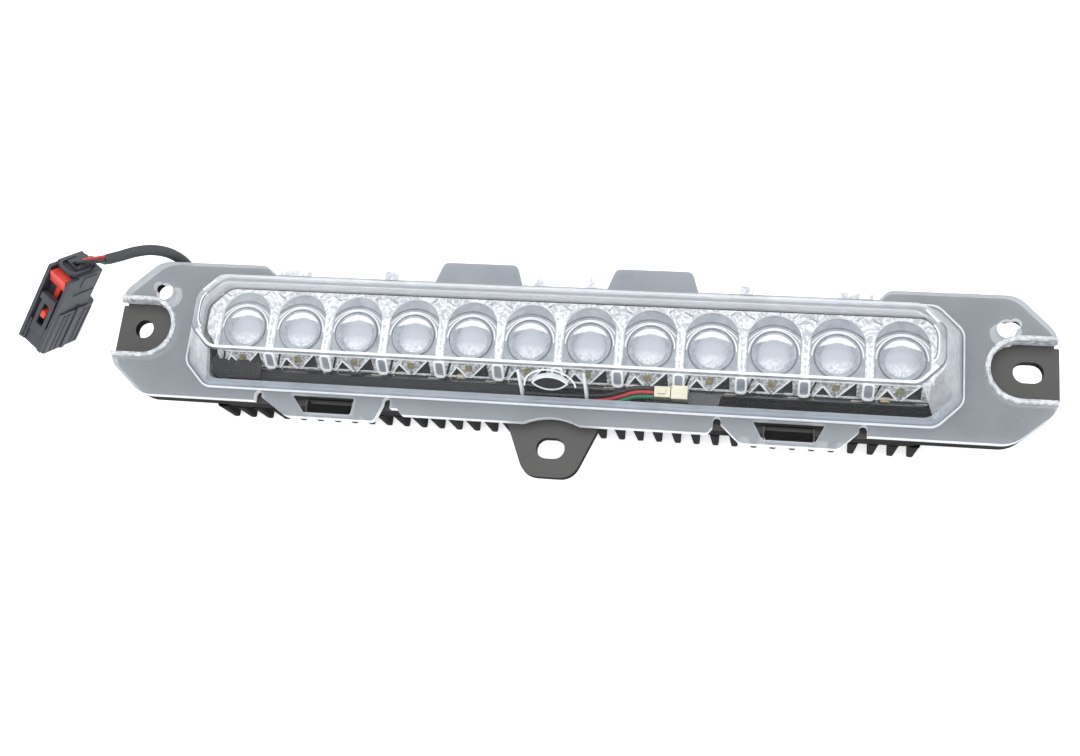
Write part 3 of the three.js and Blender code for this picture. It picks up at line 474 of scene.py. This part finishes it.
# ---------------------------------------------------------------- pieces
class Piece:
    """Closed shells collected in one space, then made into one object."""

    def __init__(self, space=LAMP):
        self.mesh = bmesh.new()
        self.space = space
        self.turn = Matrix.Identity(4)

    def point(self, place):
        return self.mesh.verts.new(self.turn @ Vector(place))

    def face(self, points, material):
        self.mesh.faces.new(points).material_index = material

    def skin(self, rings, materials=0, closed=False):
        """A shell through rings of equally many points; materials is one index, or one for each band."""
        levels = [[self.point(p) for p in r] for r in rings]
        bands = list(zip(levels, levels[1:] + (levels[:1] if closed else [])))
        if isinstance(materials, int):
            materials = [materials] * len(bands)
        for (low, high), material in zip(bands, materials):
            for i in range(len(low)):
                j = (i + 1) % len(low)
                self.face((low[i], low[j], high[j], high[i]), material)
        if not closed:
            self.face(levels[0][::-1], materials[0])
            self.face(levels[-1], materials[-1])

    def prism(self, loops, z0, z1, face=0, side=None):
        """An upright slab; the first loop is its outline and the others are holes."""
        side = face if side is None else side
        ends = []
        for z in (z0, z1):
            levels = [[self.point((x, y, z)) for x, y in loop] for loop in loops]
            pairs = [pair for level in levels for pair in zip(level, level[1:] + level[:1])]
            edges = [self.mesh.edges.new(pair) for pair in pairs]
            filled = bmesh.ops.triangle_fill(self.mesh, use_beauty=True, edges=edges)
            for item in filled["geom"]:
                if isinstance(item, bmesh.types.BMFace):
                    item.material_index = face
            ends.append(levels)
        for low, high in zip(*ends):
            for i in range(len(low)):
                j = (i + 1) % len(low)
                self.face((low[i], low[j], high[j], high[i]), side)

    def box(self, x0, x1, y0, y1, z0, z1, material=0):
        corners = [(x0, y0), (x1, y0), (x1, y1), (x0, y1)]
        self.skin([[(x, y, z) for x, y in corners] for z in (z0, z1)], material)

    def lathe(self, profile, x, y, materials=0, sides=48):
        """A turned shell; the profile is [radius, z] from the axis to the axis."""
        inner = profile[1:-1]
        if isinstance(materials, int):
            materials = [materials] * (len(profile) - 1)
        rings = [[self.point((px, py, z)) for px, py in circle(x, y, r, sides)] for r, z in inner]
        for (low, high), material in zip(zip(rings, rings[1:]), materials[1:-1]):
            for i in range(sides):
                j = (i + 1) % sides
                self.face((low[i], low[j], high[j], high[i]), material)
        for end in (0, -1):
            pole = self.point((x, y, profile[end][1]))
            for i in range(sides):
                self.face((pole, rings[end][i], rings[end][(i + 1) % sides]), materials[end])

    def done(self, name, slot, *materials, body="lamp", bevel=0.0, segments=2, sharp=35, replaces=()):
        bmesh.ops.recalc_face_normals(self.mesh, faces=self.mesh.faces)
        for item in self.mesh.faces:
            item.smooth = True
        self.mesh.transform(self.space)
        data = bpy.data.meshes.new(name)
        self.mesh.to_mesh(data)
        self.mesh.free()
        for material in materials:
            data.materials.append(material)
        obj = bpy.data.objects.new(name, data)
        bpy.context.collection.objects.link(obj)
        if bevel:
            edge = obj.modifiers.new("rounded edges", "BEVEL")
            edge.width = bevel * MM
            edge.segments = segments
            edge.angle_limit = math.radians(sharp)
            edge.harden_normals = True
        else:
            data.set_sharp_from_angle(angle=math.radians(sharp))
        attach(obj, body)
        if replaces:
            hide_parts(*replaces)
        return obj


def dress(node, material, bevel=0.15):
    """A CAD node keeps its shape and gets its finish and rounded edges."""
    obj = frame["nodes"][node]
    for place in obj.material_slots:
        place.material = material
    weld = obj.modifiers.new("weld", "WELD")
    weld.merge_threshold = 0.001 * MM
    flat = obj.modifiers.new("flat faces", "DECIMATE")
    flat.decimate_type = "DISSOLVE"
    flat.angle_limit = math.radians(2)
    edge = obj.modifiers.new("rounded edges", "BEVEL")
    edge.width = bevel * MM
    edge.segments = 2
    edge.angle_limit = math.radians(30)
    obj.modifiers.new("shading", "WEIGHTED_NORMAL")
    return obj


# ---------------------------------------------------------------- outer lens
def lens_outline():
    """The flange's whole edge: notched ends, a stepped top, and tongues between slits below."""
    x, low, high = FLANGE.half_x, FLANGE.bottom, FLANGE.top
    bottom = []
    for clip in CLIPS:
        (r0, r1), (t0, t1) = clip.root, clip.tip
        wide = 2 * SLIT.half
        bottom.append([
            (r0 - wide, low), *arc(r0 - SLIT.half, SLIT.y, SLIT.half, 180, 0, 8), (r0, SLIT.y - 1),
            (t0, CLIP_TIP_Y, 1.5), (t1, CLIP_TIP_Y, 1.5),
            (r1, SLIT.y - 1), *arc(r1 + SLIT.half, SLIT.y, SLIT.half, 180, 0, 8), (r1 + wide, low),
        ])
    drop = FOOT.y - FOOT.arc_top
    curve = [(FOOT.arc_half * k / 4, FOOT.arc_top + drop * (k / 4) ** 2) for k in range(-4, 5)]
    foot = [(-FOOT.end_x, low), (1.6 - FOOT.end_x, FOOT.y, 0.8), *curve, (FOOT.end_x - 1.6, FOOT.y, 0.8)]
    end = [
        (x - 14.6, low, 4), (x, low + 12.2, 4), *notch_loop(NOTCH.wall), (x, high - CORNER, 4),
        (x - CORNER, high, 4), (FLANGE.step_x + 3, high, 2), (FLANGE.step_x, FLANGE.middle_top, 0.5),
    ]
    return rounded(bottom[0] + foot + bottom[1] + end + mirrored(end), 6)


def make_flange(look):
    piece = Piece()
    slot_y = TOP_SLOT.y - TOP_SLOT.half_y, TOP_SLOT.y + TOP_SLOT.half_y
    top_slots = [
        rectangle(x - TOP_SLOT.half, x + TOP_SLOT.half, *slot_y, 0.4, 3) for x in (-TOP_SLOT.x, TOP_SLOT.x)
    ]
    holes = [ring(DOME.base, -DOME.wall, 2.5), key_loop(), mirrored(key_loop()), *top_slots]
    holes += [window_loop(clip) for clip in CLIPS]
    piece.prism([lens_outline(), *holes], -FLANGE.thick, 0, 0, 1)
    flange = piece.done("lens_flange", "clear_lens", look.flange, look.rim, bevel=0.55,
                        replaces=["outer_lens"])
    # The rounded edges take the painted edge highlight.
    flange.modifiers["rounded edges"].material = 1


def make_flange_details(look):
    """Lips round the notches, the tabs and small clips along the top, and two ring marks."""
    lips = Piece()
    for flip in (list, mirrored):
        lips.prism([flip(notch_loop(NOTCH.wall - 0.05) + notch_loop(0)[::-1])], PLATE.face + 0.3, NOTCH.rise)
        line = notch_loop(NOTCH.wall - 0.6) + notch_loop(NOTCH.wall - 1)[::-1]
        lips.prism([flip(line)], NOTCH.rise, NOTCH.rise + 0.1, 1)
    lips.done("lens_notch_lips", "clear_lens", look.lip, look.rim, bevel=0.25)

    tabs = Piece()
    for x in (-TAB.x, TAB.x):
        tabs.prism([rounded([
            (x - TAB.half_root, FLANGE.middle_top + 0.05), (x + TAB.half_root, FLANGE.middle_top + 0.05),
            (x + TAB.half_top, TAB.top, 2), (x - TAB.half_top, TAB.top, 2),
        ])], -FLANGE.thick, -0.6, 0, 1)
    tabs.done("lens_tabs", "clear_lens", look.tab, look.rim, bevel=0.3)

    clips = Piece()
    low = FLANGE.middle_top + 0.05
    for s in (-1, 1):
        for clip in TOP_CLIPS:
            clips.box(s * clip.x - clip.half, s * clip.x + clip.half, low, clip.top, -2.4, -0.8)
        root = [(s * PEG.x - PEG.half, low), (s * PEG.x + PEG.half, low)]
        clips.prism([[*root, (s * PEG.x, PEG.top)]], -2.4, -1.2)
    clips.done("lens_top_clips", "clear_lens", look.lip, bevel=0.2)

    marks = Piece()
    for x in MARK.xs:
        for radius in MARK.radii:
            marks.prism([circle(x, MARK.y, radius), circle(x, MARK.y, radius - MARK.wide)], 0.02, 0.16)
    marks.done("lens_ring_marks", "clear_lens", look.flange)


def dome_ring(grow, z):
    share = z / DOME.height
    spec = Spec(**{
        key: value + (getattr(DOME.face, key) - value) * share for key, value in vars(DOME.base).items()
    })
    return [(x, y, z) for x, y in ring(spec, grow, 2.5)]


def make_dome(look):
    """A thin cup with rounded front edges, standing on the flange; its foot has a bead."""
    wall, top = DOME.wall, DOME.height
    roof = top - wall
    # The dark line, the grey edge and the white bands along the dome's bends are painted shade and highlight.
    bands = [
        ((-wall - 1.0, roof), look.pane), ((-wall - 0.35, roof - 0.3), look.wall),
        ((-wall, roof - 1.0), look.wall_pane), ((-wall, 0.05), look.foot), ((0.4, 0.05), look.foot),
        ((0.1, 1.6), look.wall_pane), ((0, top - 1.2), look.line), ((-0.3, top - 0.45), look.edge),
        ((-0.9, top), look.edge), ((-2.0, top), look.wall), ((-2.4, top), look.line),
        ((-2.9, top), look.pane),
    ]
    materials = list(dict.fromkeys(material for _, material in bands)) + [look.crown, look.end_pane]
    at = materials.index
    dome = Piece()
    dome.skin([dome_ring(grow, z) for (grow, z), _ in bands], [at(m) for _, m in bands[:-1]])
    dome.mesh.faces.ensure_lookup_table()
    for face in dome.mesh.faces[-2:]:
        face.material_index = at(look.pane)
    # Along the lower front edge the painted bands shift: the grey edge is painted white and the white is left
    # clear.
    lower = {at(look.edge): at(look.wall), at(look.wall): at(look.pane)}
    ends = {at(look.wall_pane): at(look.end_pane)}
    # The upper wall and the ends take the whiter painted-light copies of the wall.
    for face in dome.mesh.faces[:-2]:
        x, y, z = face.calc_center_median()
        if y > DOME.face.top - 4:
            face.material_index = at(look.crown)
        elif abs(x) > DOME.face.half_x - 4:
            face.material_index = ends.get(face.material_index, face.material_index)
        elif z > top - 0.05:
            face.material_index = at(look.pane)
        elif z > roof - 1:
            face.material_index = lower.get(face.material_index, face.material_index)
    dome.done("lens_dome", "clear_lens", *materials, sharp=25)

    bead = Piece()
    out, high = BEAD.out, BEAD.height
    section = [(0.7, 0.03), (out, 0.03), (out, 0.7), (out - 0.4, high), (0.7, high)]
    bead.skin([[(x, y, z) for x, y in ring(DOME.base, grow, 2.5)] for grow, z in section], closed=True)
    bead.done("lens_bead", "clear_lens", look.rim, sharp=50)


def lens_shape(half, sagitta, steps=16):
    """A pointed oval between two arcs."""
    radius = (half**2 + sagitta**2) / (2 * sagitta)
    lean = math.degrees(math.asin(half / radius))
    lower = arc(0, radius - sagitta, radius, 270 - lean, 270 + lean, steps)
    return lower + [(-x, -y) for x, y in lower[1:-1]]


def port_place():
    """Across, up the slope, and out of the dome's lower wall, from the middle of the port."""
    run = DOME.face.bottom - DOME.base.bottom
    up = Vector((0, run, DOME.height)).normalized()
    out = Vector((1, 0, 0)).cross(up)
    y = DOME.base.bottom + run * PORT.z / DOME.height
    return Matrix.Translation((0, y, PORT.z)) @ Matrix((Vector((1, 0, 0)), up, out)).transposed().to_4x4()


def make_port(look):
    rim = Piece()
    rim.turn = port_place()
    outer = lens_shape(PORT.half + 0.6, PORT.sagitta + 0.45)
    rim.prism([outer, lens_shape(PORT.half, PORT.sagitta)], -1.6, 0.4)
    rim.prism([arc(0, -1.8, 9.3, 0, 180, 24) + arc(0, -1.8, 8.7, 180, 0, 24)], 0.05, 0.35)
    rim.done("lens_port_rim", "clear_lens", look.rim, bevel=0.15)
    plug = Piece()
    plug.turn = port_place()
    plug.prism([lens_shape(PORT.half - 0.1, PORT.sagitta - 0.1)], -1.7, 0.15)
    plug.done("port_plug_pad", "seal_rubber", look.rubber, bevel=0.2, replaces=["port_plug"])

    ribs = Piece()
    for x in (-11.6, 11.6):
        section = [(-18.5, -2.8), (-15.6, -2.8), (-12.6, 11), (-13.1, 11)]
        ribs.skin([[(x + dx, y, z) for y, z in section] for dx in (-0.5, 0.5)])
    ribs.done("lens_port_ribs", "clear_lens", look.rim, bevel=0.15)


# ---------------------------------------------------------------- casting
def plate_outline():
    x, inset = FLANGE.half_x - PLATE.inset, PLATE.inset
    low, high = FLANGE.bottom + inset, FLANGE.top - inset + PLATE.rise
    ear = [(-EAR.half_root, low, 0.8), (-EAR.half_root, EAR.shoulder, 1.2), (-EAR.half_foot, EAR.bottom, 5)]
    end = [
        (x - 14.6, low, 4), (x, low + 12.2, 3), (x, -END_EAR.half_y), (END_EAR.x, -END_EAR.half_y, 0.6),
        (END_EAR.x, END_EAR.half_y, 0.6), (x, END_EAR.half_y), (x, high - CORNER, 2.5), (x - CORNER, high, 4),
        (FLANGE.step_x + 3 + inset, high, 2), (FLANGE.step_x + inset, FLANGE.middle_top - inset),
    ]
    return rounded(ear + mirrored(ear) + end + mirrored(end), 8)


def make_casting(look):
    plate = Piece()
    holes = [
        circle(-HOLE.x, HOLE.y, HOLE.radius), slot_loop(HOLE.x, HOLE.y, HOLE.slot_half, HOLE.slot_radius),
        slot_loop(0, EAR.slot_y, HOLE.slot_half, HOLE.slot_radius), key_loop(KEY.wider),
        mirrored(key_loop(KEY.wider)),
        ring(BLOCK, -1),
    ]
    # The plate's outer edge and hole walls take the painted-shade casting colour.
    plate.prism([plate_outline(), *holes], PLATE.back, PLATE.face, 0, 1)
    plate.done("casting_plate", "casting", look.casting, look.fins, bevel=0.4, segments=3,
               replaces=["heat_sink"])

    body = Piece()
    foot = Spec(**{**vars(BLOCK), "half_x": BLOCK.foot_x})
    levels = [
        (TRAY, 0, TRAY.floor), (TRAY, 0.2, TRAY.floor + 0.3), (TRAY, 0.5, PLATE.face),
        (BLOCK, -0.95, PLATE.face), (BLOCK, -0.95, PLATE.back - 0.1), (BLOCK, 0, PLATE.back - 0.1),
        (foot, 0.6, BLOCK.back + 1), (foot, 0.2, BLOCK.back + 0.3), (foot, -0.6, BLOCK.back),
    ]
    rings = [[(x, y, z) for x, y in ring(spec, grow)] for spec, grow, z in levels]
    # The tray's floor and wall and the back of the body take the painted-shade casting colour.
    body.skin(rings, [1, 1, 0, 0, 0, 1, 1, 1])
    body.done("casting_body", "casting", look.casting, look.fins, sharp=50)

    fins = Piece()
    for i in range(FIN.count):
        x = FIN.first_x + i * FIN.pitch
        depths = [
            (BLOCK.back + 0.3, 0, 0.25), (BLOCK.back - 1.2, 0, 0), (FIN.end_z + 1.5, 0.2, 0),
            (FIN.end_z + 0.6, 0.5, 0.15), (FIN.end_z + 0.15, 1.1, 0.45), (FIN.end_z, 1.8, 0.8),
        ]
        rings = []
        for z, draw, thin in depths:
            share = (BLOCK.back - z) / (BLOCK.back - FIN.end_z)
            flare = 0.5 if z > BLOCK.back else 0
            half = (FIN.root + (FIN.tip - FIN.root) * max(share, 0)) / 2 - thin + flare
            outline = rectangle(x - half, x + half, FIN.bottom + draw, FIN.top - draw, half * 0.6, 4)
            rings.append([(px, py, z) for px, py in outline])
        fins.skin(rings)
    # The fins are all in the painted-shade casting colour.
    fins.done("casting_fins", "casting", look.fins, sharp=50)

    hooks = Piece()
    for clip in CLIPS:
        x0, x1 = clip.low[0] + 1, clip.low[1] - 1
        y0 = CLIP_WINDOW_Y[0] + 0.8
        hooks.box(x0, x1, y0, -25.2, PLATE.back + 0.2, -4.4)
        hooks.box(x0, x1, y0, -25.9, -4.5, -1.4)
        for x in (x0 - 0.9, x1 + 0.2):
            hooks.box(x, x + 0.7, y0 + 0.4, -24.2, PLATE.back + 0.2, -2.2, 1)
    for x in (-TOP_SLOT.x, TOP_SLOT.x):
        hooks.box(x - 6.9, x + 6.9, TOP_SLOT.y - 0.6, TOP_SLOT.y + 0.6, PLATE.face - 0.5, -0.2, 1)
    # The hooks take the painted-shade casting colour; their cheeks and the slot bars take the plain casting.
    hooks.done("casting_hooks", "casting", look.fins, look.casting, bevel=0.3)


# ---------------------------------------------------------------- board and its parts
def make_board(look):
    board = Piece()
    a, b = BOARD.tongue
    outline = rounded([
        (-BOARD.half_x, BOARD.bottom, 2), (a, BOARD.bottom), (a + 1, BOARD.tongue_y, 1),
        (b - 1, BOARD.tongue_y, 1), (b, BOARD.bottom), (BOARD.half_x, BOARD.bottom, 2),
        (BOARD.half_x, BOARD.top, 4), (-BOARD.half_x, BOARD.top, 4),
    ])
    screw_holes = [circle(x, 13.2, 1.7, 20) for x in (-108.5, -43.4, 43.4, 108.5)]
    board.prism([outline, *screw_holes], BOARD.face - BOARD.thick, BOARD.face)
    board.done("board_panel", "circuit_board", look.board, bevel=0.12, replaces=["led_board"])

    pads = Piece()
    for x in cell_x:
        for dx in (-3.1, 3.1):
            pads.box(x + dx - 0.8, x + dx + 0.8, CELLS.y - 1.4, CELLS.y + 1.4, BOARD.face, BOARD.face + 0.06)
        for dx in (-1.5, 1.5):
            pads.box(x + dx - 0.5, x + dx + 0.5, -7.6, -6.2, BOARD.face, BOARD.face + 0.35)
        pads.box(x - 8, x - 7.2, -11.6, -5, BOARD.face, BOARD.face + 0.05)
        pads.box(x + 5.5, x + 9.5, -11.7, -11.2, BOARD.face, BOARD.face + 0.05)
    pads.done("board_pads", "screw_steel", look.copper, sharp=30)

    small = Piece()
    for i, x in enumerate(cell_x):
        small.box(x - 1.1, x + 1.1, -7.5, -6.3, BOARD.face + 0.05, BOARD.face + 1.1, i % 2)
        small.box(x + 4.4, x + 6.0, -9.2, -8.3, BOARD.face + 0.02, BOARD.face + 0.6, 1)
        if i not in (0, 1, 9, 10):
            small.box(x - 6.2, x - 4.0, -10.9, -9.7, BOARD.face + 0.02, BOARD.face + 0.7, (i + 1) % 2)
    small.done("board_chips", "component_black", look.ceramic, look.epoxy, bevel=0.1)

    for i, x in enumerate(cell_x):
        y, base = CELLS.y, BOARD.face + 0.05
        led = Piece()
        side = rectangle(x - LED.half, x + LED.half, y - LED.half, y + LED.half, 0.3, 3)
        led.prism([side], base, base + 0.7)
        led.lathe([(r, base + z) for r, z in LED.lens], x, y, 1, 24)
        name = f"led_{i + 1:02d}"
        led.done(f"{name}_package", "led_package", look.diode, look.phosphor, sharp=40, replaces=[name])


def make_optic(look):
    """The collimators, the ribbed web with an arched recess round each, and the skirt below."""
    cells = Piece()
    top, foot = OPTIC.top, OPTIC.foot
    lens = [(0, top - 1.7), (1.5, top - 1.75), (3.2, top - 1.95), (4.6, top - 2.3), (5.45, top - 2.7)]
    wall = [(5.7 + 0.25 * k, top - 2.8 + 0.28 * k) for k in range(9)]
    crest = [(7.9, top - 0.3), (8.05, top - 0.4), (8.1, top - 1.2)]
    cone = [(8.1, top - 1.7), (7.3, top - 2.7), (5.4, top - 4.4), (3.6, foot - 0.2), (2.7, foot - 0.9),
            (2.4, foot - 0.9), (2.2, foot + 0.6), (0, foot + 1.2)]
    profile = lens + wall + crest + cone
    looks = [0] * len(lens) + [1] * (len(wall) - 1) + [2] * len(crest) + [3] * len(cone)
    for x in cell_x:
        cells.lathe(profile, x, CELLS.y, looks, 72)
    # Wall faces between the two circles take the painted highlight.
    for face in cells.mesh.faces:
        x, y, _ = face.calc_center_median()
        x -= min(cell_x, key=lambda middle: abs(middle - x))
        y -= CELLS.y
        inside = math.hypot(x, y + HIGHLIGHT_CRESCENT.shift) > HIGHLIGHT_CRESCENT.inner
        if face.material_index == 1 and y > 0 and inside and math.hypot(x, y) < HIGHLIGHT_CRESCENT.outer:
            face.material_index = 4
    cells.done("collimator_cells", "optic", look.disc, look.mirror, look.arc, look.cone, look.crescent,
               sharp=50, replaces=["inner_optic"])

    web = Piece()
    spring = ARCH.top - ARCH.half
    arches = []
    for x in cell_x:
        sides = [(x - ARCH.half, WEB.bottom + 0.5), (x + ARCH.half, WEB.bottom + 0.5)]
        arches.append([*sides, *arc(x, spring, ARCH.half, 0, 180, 28)])
    floor = WEB.front - ARCH.depth
    # The web's sides and arch walls take the painted highlight.
    web.prism([ring(WEB, 0, 2.5), *arches], floor, WEB.front, 0, 1)
    web.done("collimator_web", "optic", look.web, look.wall, bevel=0.3)

    rays = Piece()
    for x in cell_x:
        for k in range(-4, 5):
            lean = math.radians(RAY.step * k + RAY.jog * (-1) ** k)
            reach = RAY.short if abs(k) < 3 else RAY.long
            start = Vector((x + 10.6 * math.sin(lean), spring + 10.0 * math.cos(lean)))
            along = Vector((math.sin(RAY.fan * lean), math.cos(RAY.fan * lean)))
            end = start + reach * along
            if end.y > WEB.top - 0.5:
                end = start + along * max((WEB.top - 0.5 - start.y) / along.y, 0.3)
            root = RAY.half * along.orthogonal()
            tip = 0.4 * root
            outline = [tuple(p) for p in (start - root, end - tip, end + tip, start + root)]
            # Every other rib is painted highlight white, and the rest are painted shade grey.
            rays.prism([outline], WEB.front + 0.01, WEB.front + 0.3, k % 2)
        for side in (-1, 1):
            outline = stroke((x + side * 10.35, WEB.bottom + 0.4), (x + side * 9.85, 7), 0.2)
            rays.prism([outline], WEB.front + 0.01, WEB.front + 0.35, 0)
    rays.done("collimator_web_ribs", "optic", look.wall, look.edge)

    recess = Piece()
    for x, arch in zip(cell_x, arches):
        recess.prism([arch, circle(x, CELLS.y, OPTIC.rim + 0.05, 64)], WEB.front - WEB.thick, floor + 0.1, 0)
        # Thin arcs on the recess floor: the white ones are painted highlight, and the outer dark one is
        # painted shade.
        for radius, wide, material in ((9.0, 0.45, 1), (10.9, 0.3, 1), (12.2, 0.35, 2)):
            reach = 90 if radius < ARCH.half else math.degrees(math.asin((ARCH.half - 0.3) / radius))
            lift = 1.8 - 1.5 * (radius > ARCH.half)
            outer = arc(x, lift, radius, 90 - reach, 90 + reach, 24)
            inner = arc(x, lift, radius - wide, 90 + reach, 90 - reach, 24)
            recess.prism([outer + inner], floor + 0.12, floor + 0.4, material)
    recess.done("collimator_recesses", "optic", look.cup, look.wall, look.arc, sharp=40)

    skirt = Piece()
    skirt.turn = SKIRT_PLACE
    height = SKIRT.length
    cuts = []
    for x in cell_x:
        cuts += [
            [(x - 7.4, 0.5), (x - 1.3, 0.5), (x - 4.5, 4.4)],
            [(x + 0.7, 0.5), (x + 7.1, 0.5), (x + 6.8, height - 1.0)],
            [(x - 9.1, 0.7), (x - 8.2, 0.7), (x - 6.2, height - 1.1), (x - 7.1, height - 0.9)],
        ]
    skirt.prism([[(-129, 0), (129, 0), (129, height), (-129, height)], *cuts], -0.6, 0, 0, 1)
    strokes = (((-7.7, 0.3), (-4.7, 4.7)), ((-4.3, 4.7), (-1.0, 0.3)), ((0.4, 0.3), (6.6, height - 0.6)))
    for x in cell_x:
        for (x0, low), (x1, high) in strokes:
            # The slanted strips are painted highlight strokes.
            skirt.prism([stroke((x + x0, low), (x + x1, high), 0.3)], 0.02, 0.4, 1)
        # An amber patch painted on the skirt for the diode seen through it.
        glow = [(x - 1.6, 3.0, 0.5), (x + 1.0, 3.0, 0.5), (x + 1.4, 5.6, 0.5), (x - 1.2, 5.6, 0.5)]
        skirt.prism([rounded(glow)], 0.02, 0.25, 2)
    skirt.done("collimator_skirt", "optic", look.skirt, look.wall, look.amber)

    feet = Piece()
    feet.turn = SKIRT_PLACE
    for i in range(1, CELLS.count):
        x = (i - CELLS.count / 2) * CELLS.pitch
        oval = rectangle(x - 2.1, x + 2.1, 0.2, height - 0.2, 1.8, 6)
        hole = rectangle(x - 1.4, x + 1.4, 0.9, height - 0.9, 1.2, 6)
        feet.prism([oval, hole], 0.05, 1.3)
        feet.prism([hole], 0.05, 0.5, 1)
    feet.done("collimator_feet", "optic", look.wall, look.cup, bevel=0.25)


# ---------------------------------------------------------------- plug
def make_plug_details(look):
    """Ribs on the plug's hood and body, and a collar round its leads."""
    ribs = Piece(IN_PLUG)
    for y in (-3.9, 3.9):
        ribs.box(HOOD.start + 9.5, PLUG.length - 0.6, y - 0.5, y + 0.5, 6.8, 8.6)
    for z in (-10.4, -7.6, 0.8, 3.2):
        for s in (-1, 1):
            y = s * (HOOD.half + 0.02)
            ribs.box(HOOD.start + 1.5, PLUG.length - 0.4, y - 0.35, y + 0.35, z, z + 1.1)
    for s in (-1, 1):
        ribs.box(1.2, 6.5, s * 5.5 - 0.55, s * 5.5 + 0.55, -5.6, 1.6)
        ribs.box(9.5, 10.6, s * 5.5 - 0.6, s * 5.5 + 0.6, -7.2, 3.4)
    details = [ribs.done("connector_ribs", "plug_body", look.plug, bevel=0.3)]

    collar = Piece(IN_PLUG)
    collar.turn = Matrix.Rotation(math.radians(-90), 4, "Y") @ Matrix.Rotation(math.radians(90), 4, "Z")
    collar.prism([rectangle(-4.4, 4.4, -7.4, 3.9, 3, 8), rectangle(-3.3, 3.3, -6.6, 3.1, 2.6, 8)], -0.4, 1.4)
    details.append(collar.done("connector_collar", "plug_body", look.plug, bevel=0.3))
    return details


# ---------------------------------------------------------------- assembly
def make_stage(look):
    floor = Piece()
    floor.box(-4000, 4000, -4000, 4000, -34, FIN.end_z - 0.02)
    ground = floor.done("floor", "casting", look.floor)
    ground.parent = None
    ground.matrix_world = Matrix.Identity(4)
    del ground["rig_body"]

    world = bpy.data.worlds.new("studio")
    world.use_nodes = True
    background = world.node_tree.nodes["Background"]
    background.inputs["Color"].default_value = (0.92, 0.96, 1.0, 1)
    background.inputs["Strength"].default_value = 0.8
    bpy.context.scene.world = world
    bpy.context.scene.view_settings.view_transform = "Standard"

    for name, place, target, size, power in (
        ("softbox_over", (0, 0.25, 0.95), (0, 0, 0), (1.5, 0.9), 8),
        ("softbox_front", (-0.25, -0.9, 0.55), (0, 0, 0), (1.4, 0.6), 3.2),
    ):
        lamp = bpy.data.lights.new(name, "AREA")
        lamp.shape = "RECTANGLE"
        lamp.size, lamp.size_y = size
        lamp.energy = power
        obj = bpy.data.objects.new(name, lamp)
        obj.location = place
        obj.rotation_euler = (Vector(target) - Vector(place)).to_track_quat("-Z", "Y").to_euler()
        bpy.context.collection.objects.link(obj)


make_camera()
look = make_materials()

SHEATH_ROUTE = [
    (GROMMET.x, GROMMET.y, -18.1), (-129, 5.2, -20.8), (-130.9, 6.9, -24.2), (-134.4, 10, -26),
    (-138.4, 13.6, -25.3), (-142.2, 17.4, -22.5), (-145.8, 21.8, -18.1), (-149.2, 26.4, -13),
    (-152.6, 30.2, -7.6), (-157, 31.5, -3), (-162.4, 31, 0.2), (-168, 29.4, 1.6), (-173.4, 27.4, 1.9),
    (-178.4, 25.8, 2),
]
sheath = make_wire("cable_sheath_tube", SHEATH_ROUTE, SHEATH, look.sheath,
                   node="cable_sheath")

fan_start = PLUG_PLACE.inverted() @ Vector(SHEATH_ROUTE[-1])
fan_along = Vector((0.7, -0.57, 0.41)).normalized()
for colour, offset, pin in zip(
    ("black", "red", "green"), ((-0.36, 0.29, 1.2), (-0.6, -1.05, -0.4), (0.95, 0.7, -0.8)), PLUG.pins
):
    start = fan_start + Vector(offset) + 0.3 * fan_along
    route = [start, start + 1.6 * fan_along, (-2.6, 0.5, pin - 0.4), (-1.6, 0, pin), (0.9, 0, pin)]
    make_wire(f"outer_lead_{colour}_wire", route, LEAD, getattr(look, f"{colour}_wire"),
                                 IN_PLUG)

LANE = Spec(y=-16.3, z=-9.8, spacing=1.9)
for i, colour in enumerate(("green", "red", "black")):
    side = (i - 1) * LANE.spacing
    lane = LANE.y + side
    turn_x = GROMMET.x + 0.85 * side
    over = BOARD.face + 2.3
    make_wire(f"inner_lead_{colour}_wire", [
        (34.6, -13.1 + 0.85 * side, over), (28.5, -13.4 + 0.9 * side, over),
        (16, lane, LANE.z), (-50, lane, LANE.z),
        (-104, lane, LANE.z), (turn_x + 12, lane, LANE.z + 0.2), (turn_x + 4.6, lane + 1.2, LANE.z + 1.9),
        (turn_x, lane + 6.4, over - 0.3), (turn_x, -5, over), (turn_x, 2, over + 0.4),
        (turn_x, GROMMET.y, over - 1.6),
    ], LEAD, getattr(look, f"{colour}_wire"))

make_flange(look)
make_flange_details(look)
make_dome(look)
make_port(look)
make_casting(look)
make_board(look)
make_optic(look)

finishes = [
    (look.rubber, ["lens_gasket", "cable_grommet", "breather_vent", "channel_cover", "connector_seal"]),
    (look.pad, ["thermal_pad"]),
    (look.epoxy, ["driver_chip", "choke", "diode_1", "diode_2", "shunt_1", "shunt_2"]),
    (look.ceramic, ["capacitor_1", "capacitor_2", "capacitor_3"]),
    (look.ivory, ["board_socket", "board_plug"]),
    (look.steel, ["board_screw_1", "board_screw_2", "board_screw_3", "board_screw_4"]),
    (look.plug, ["connector_cap", "connector_tower"]),
    (look.red, ["connector_keeper"]),
    (look.tin, ["terminal_1", "terminal_2", "terminal_3"]),
]
for material, nodes in finishes:
    for node in nodes:
        dress(node, material)
dress("connector_housing", look.plug, 0.45)
dress("connector_latch", look.plug, 0.45)
dress("connector_lock", look.red, 0.45)
plug_details = make_plug_details(look)

make_stage(look)
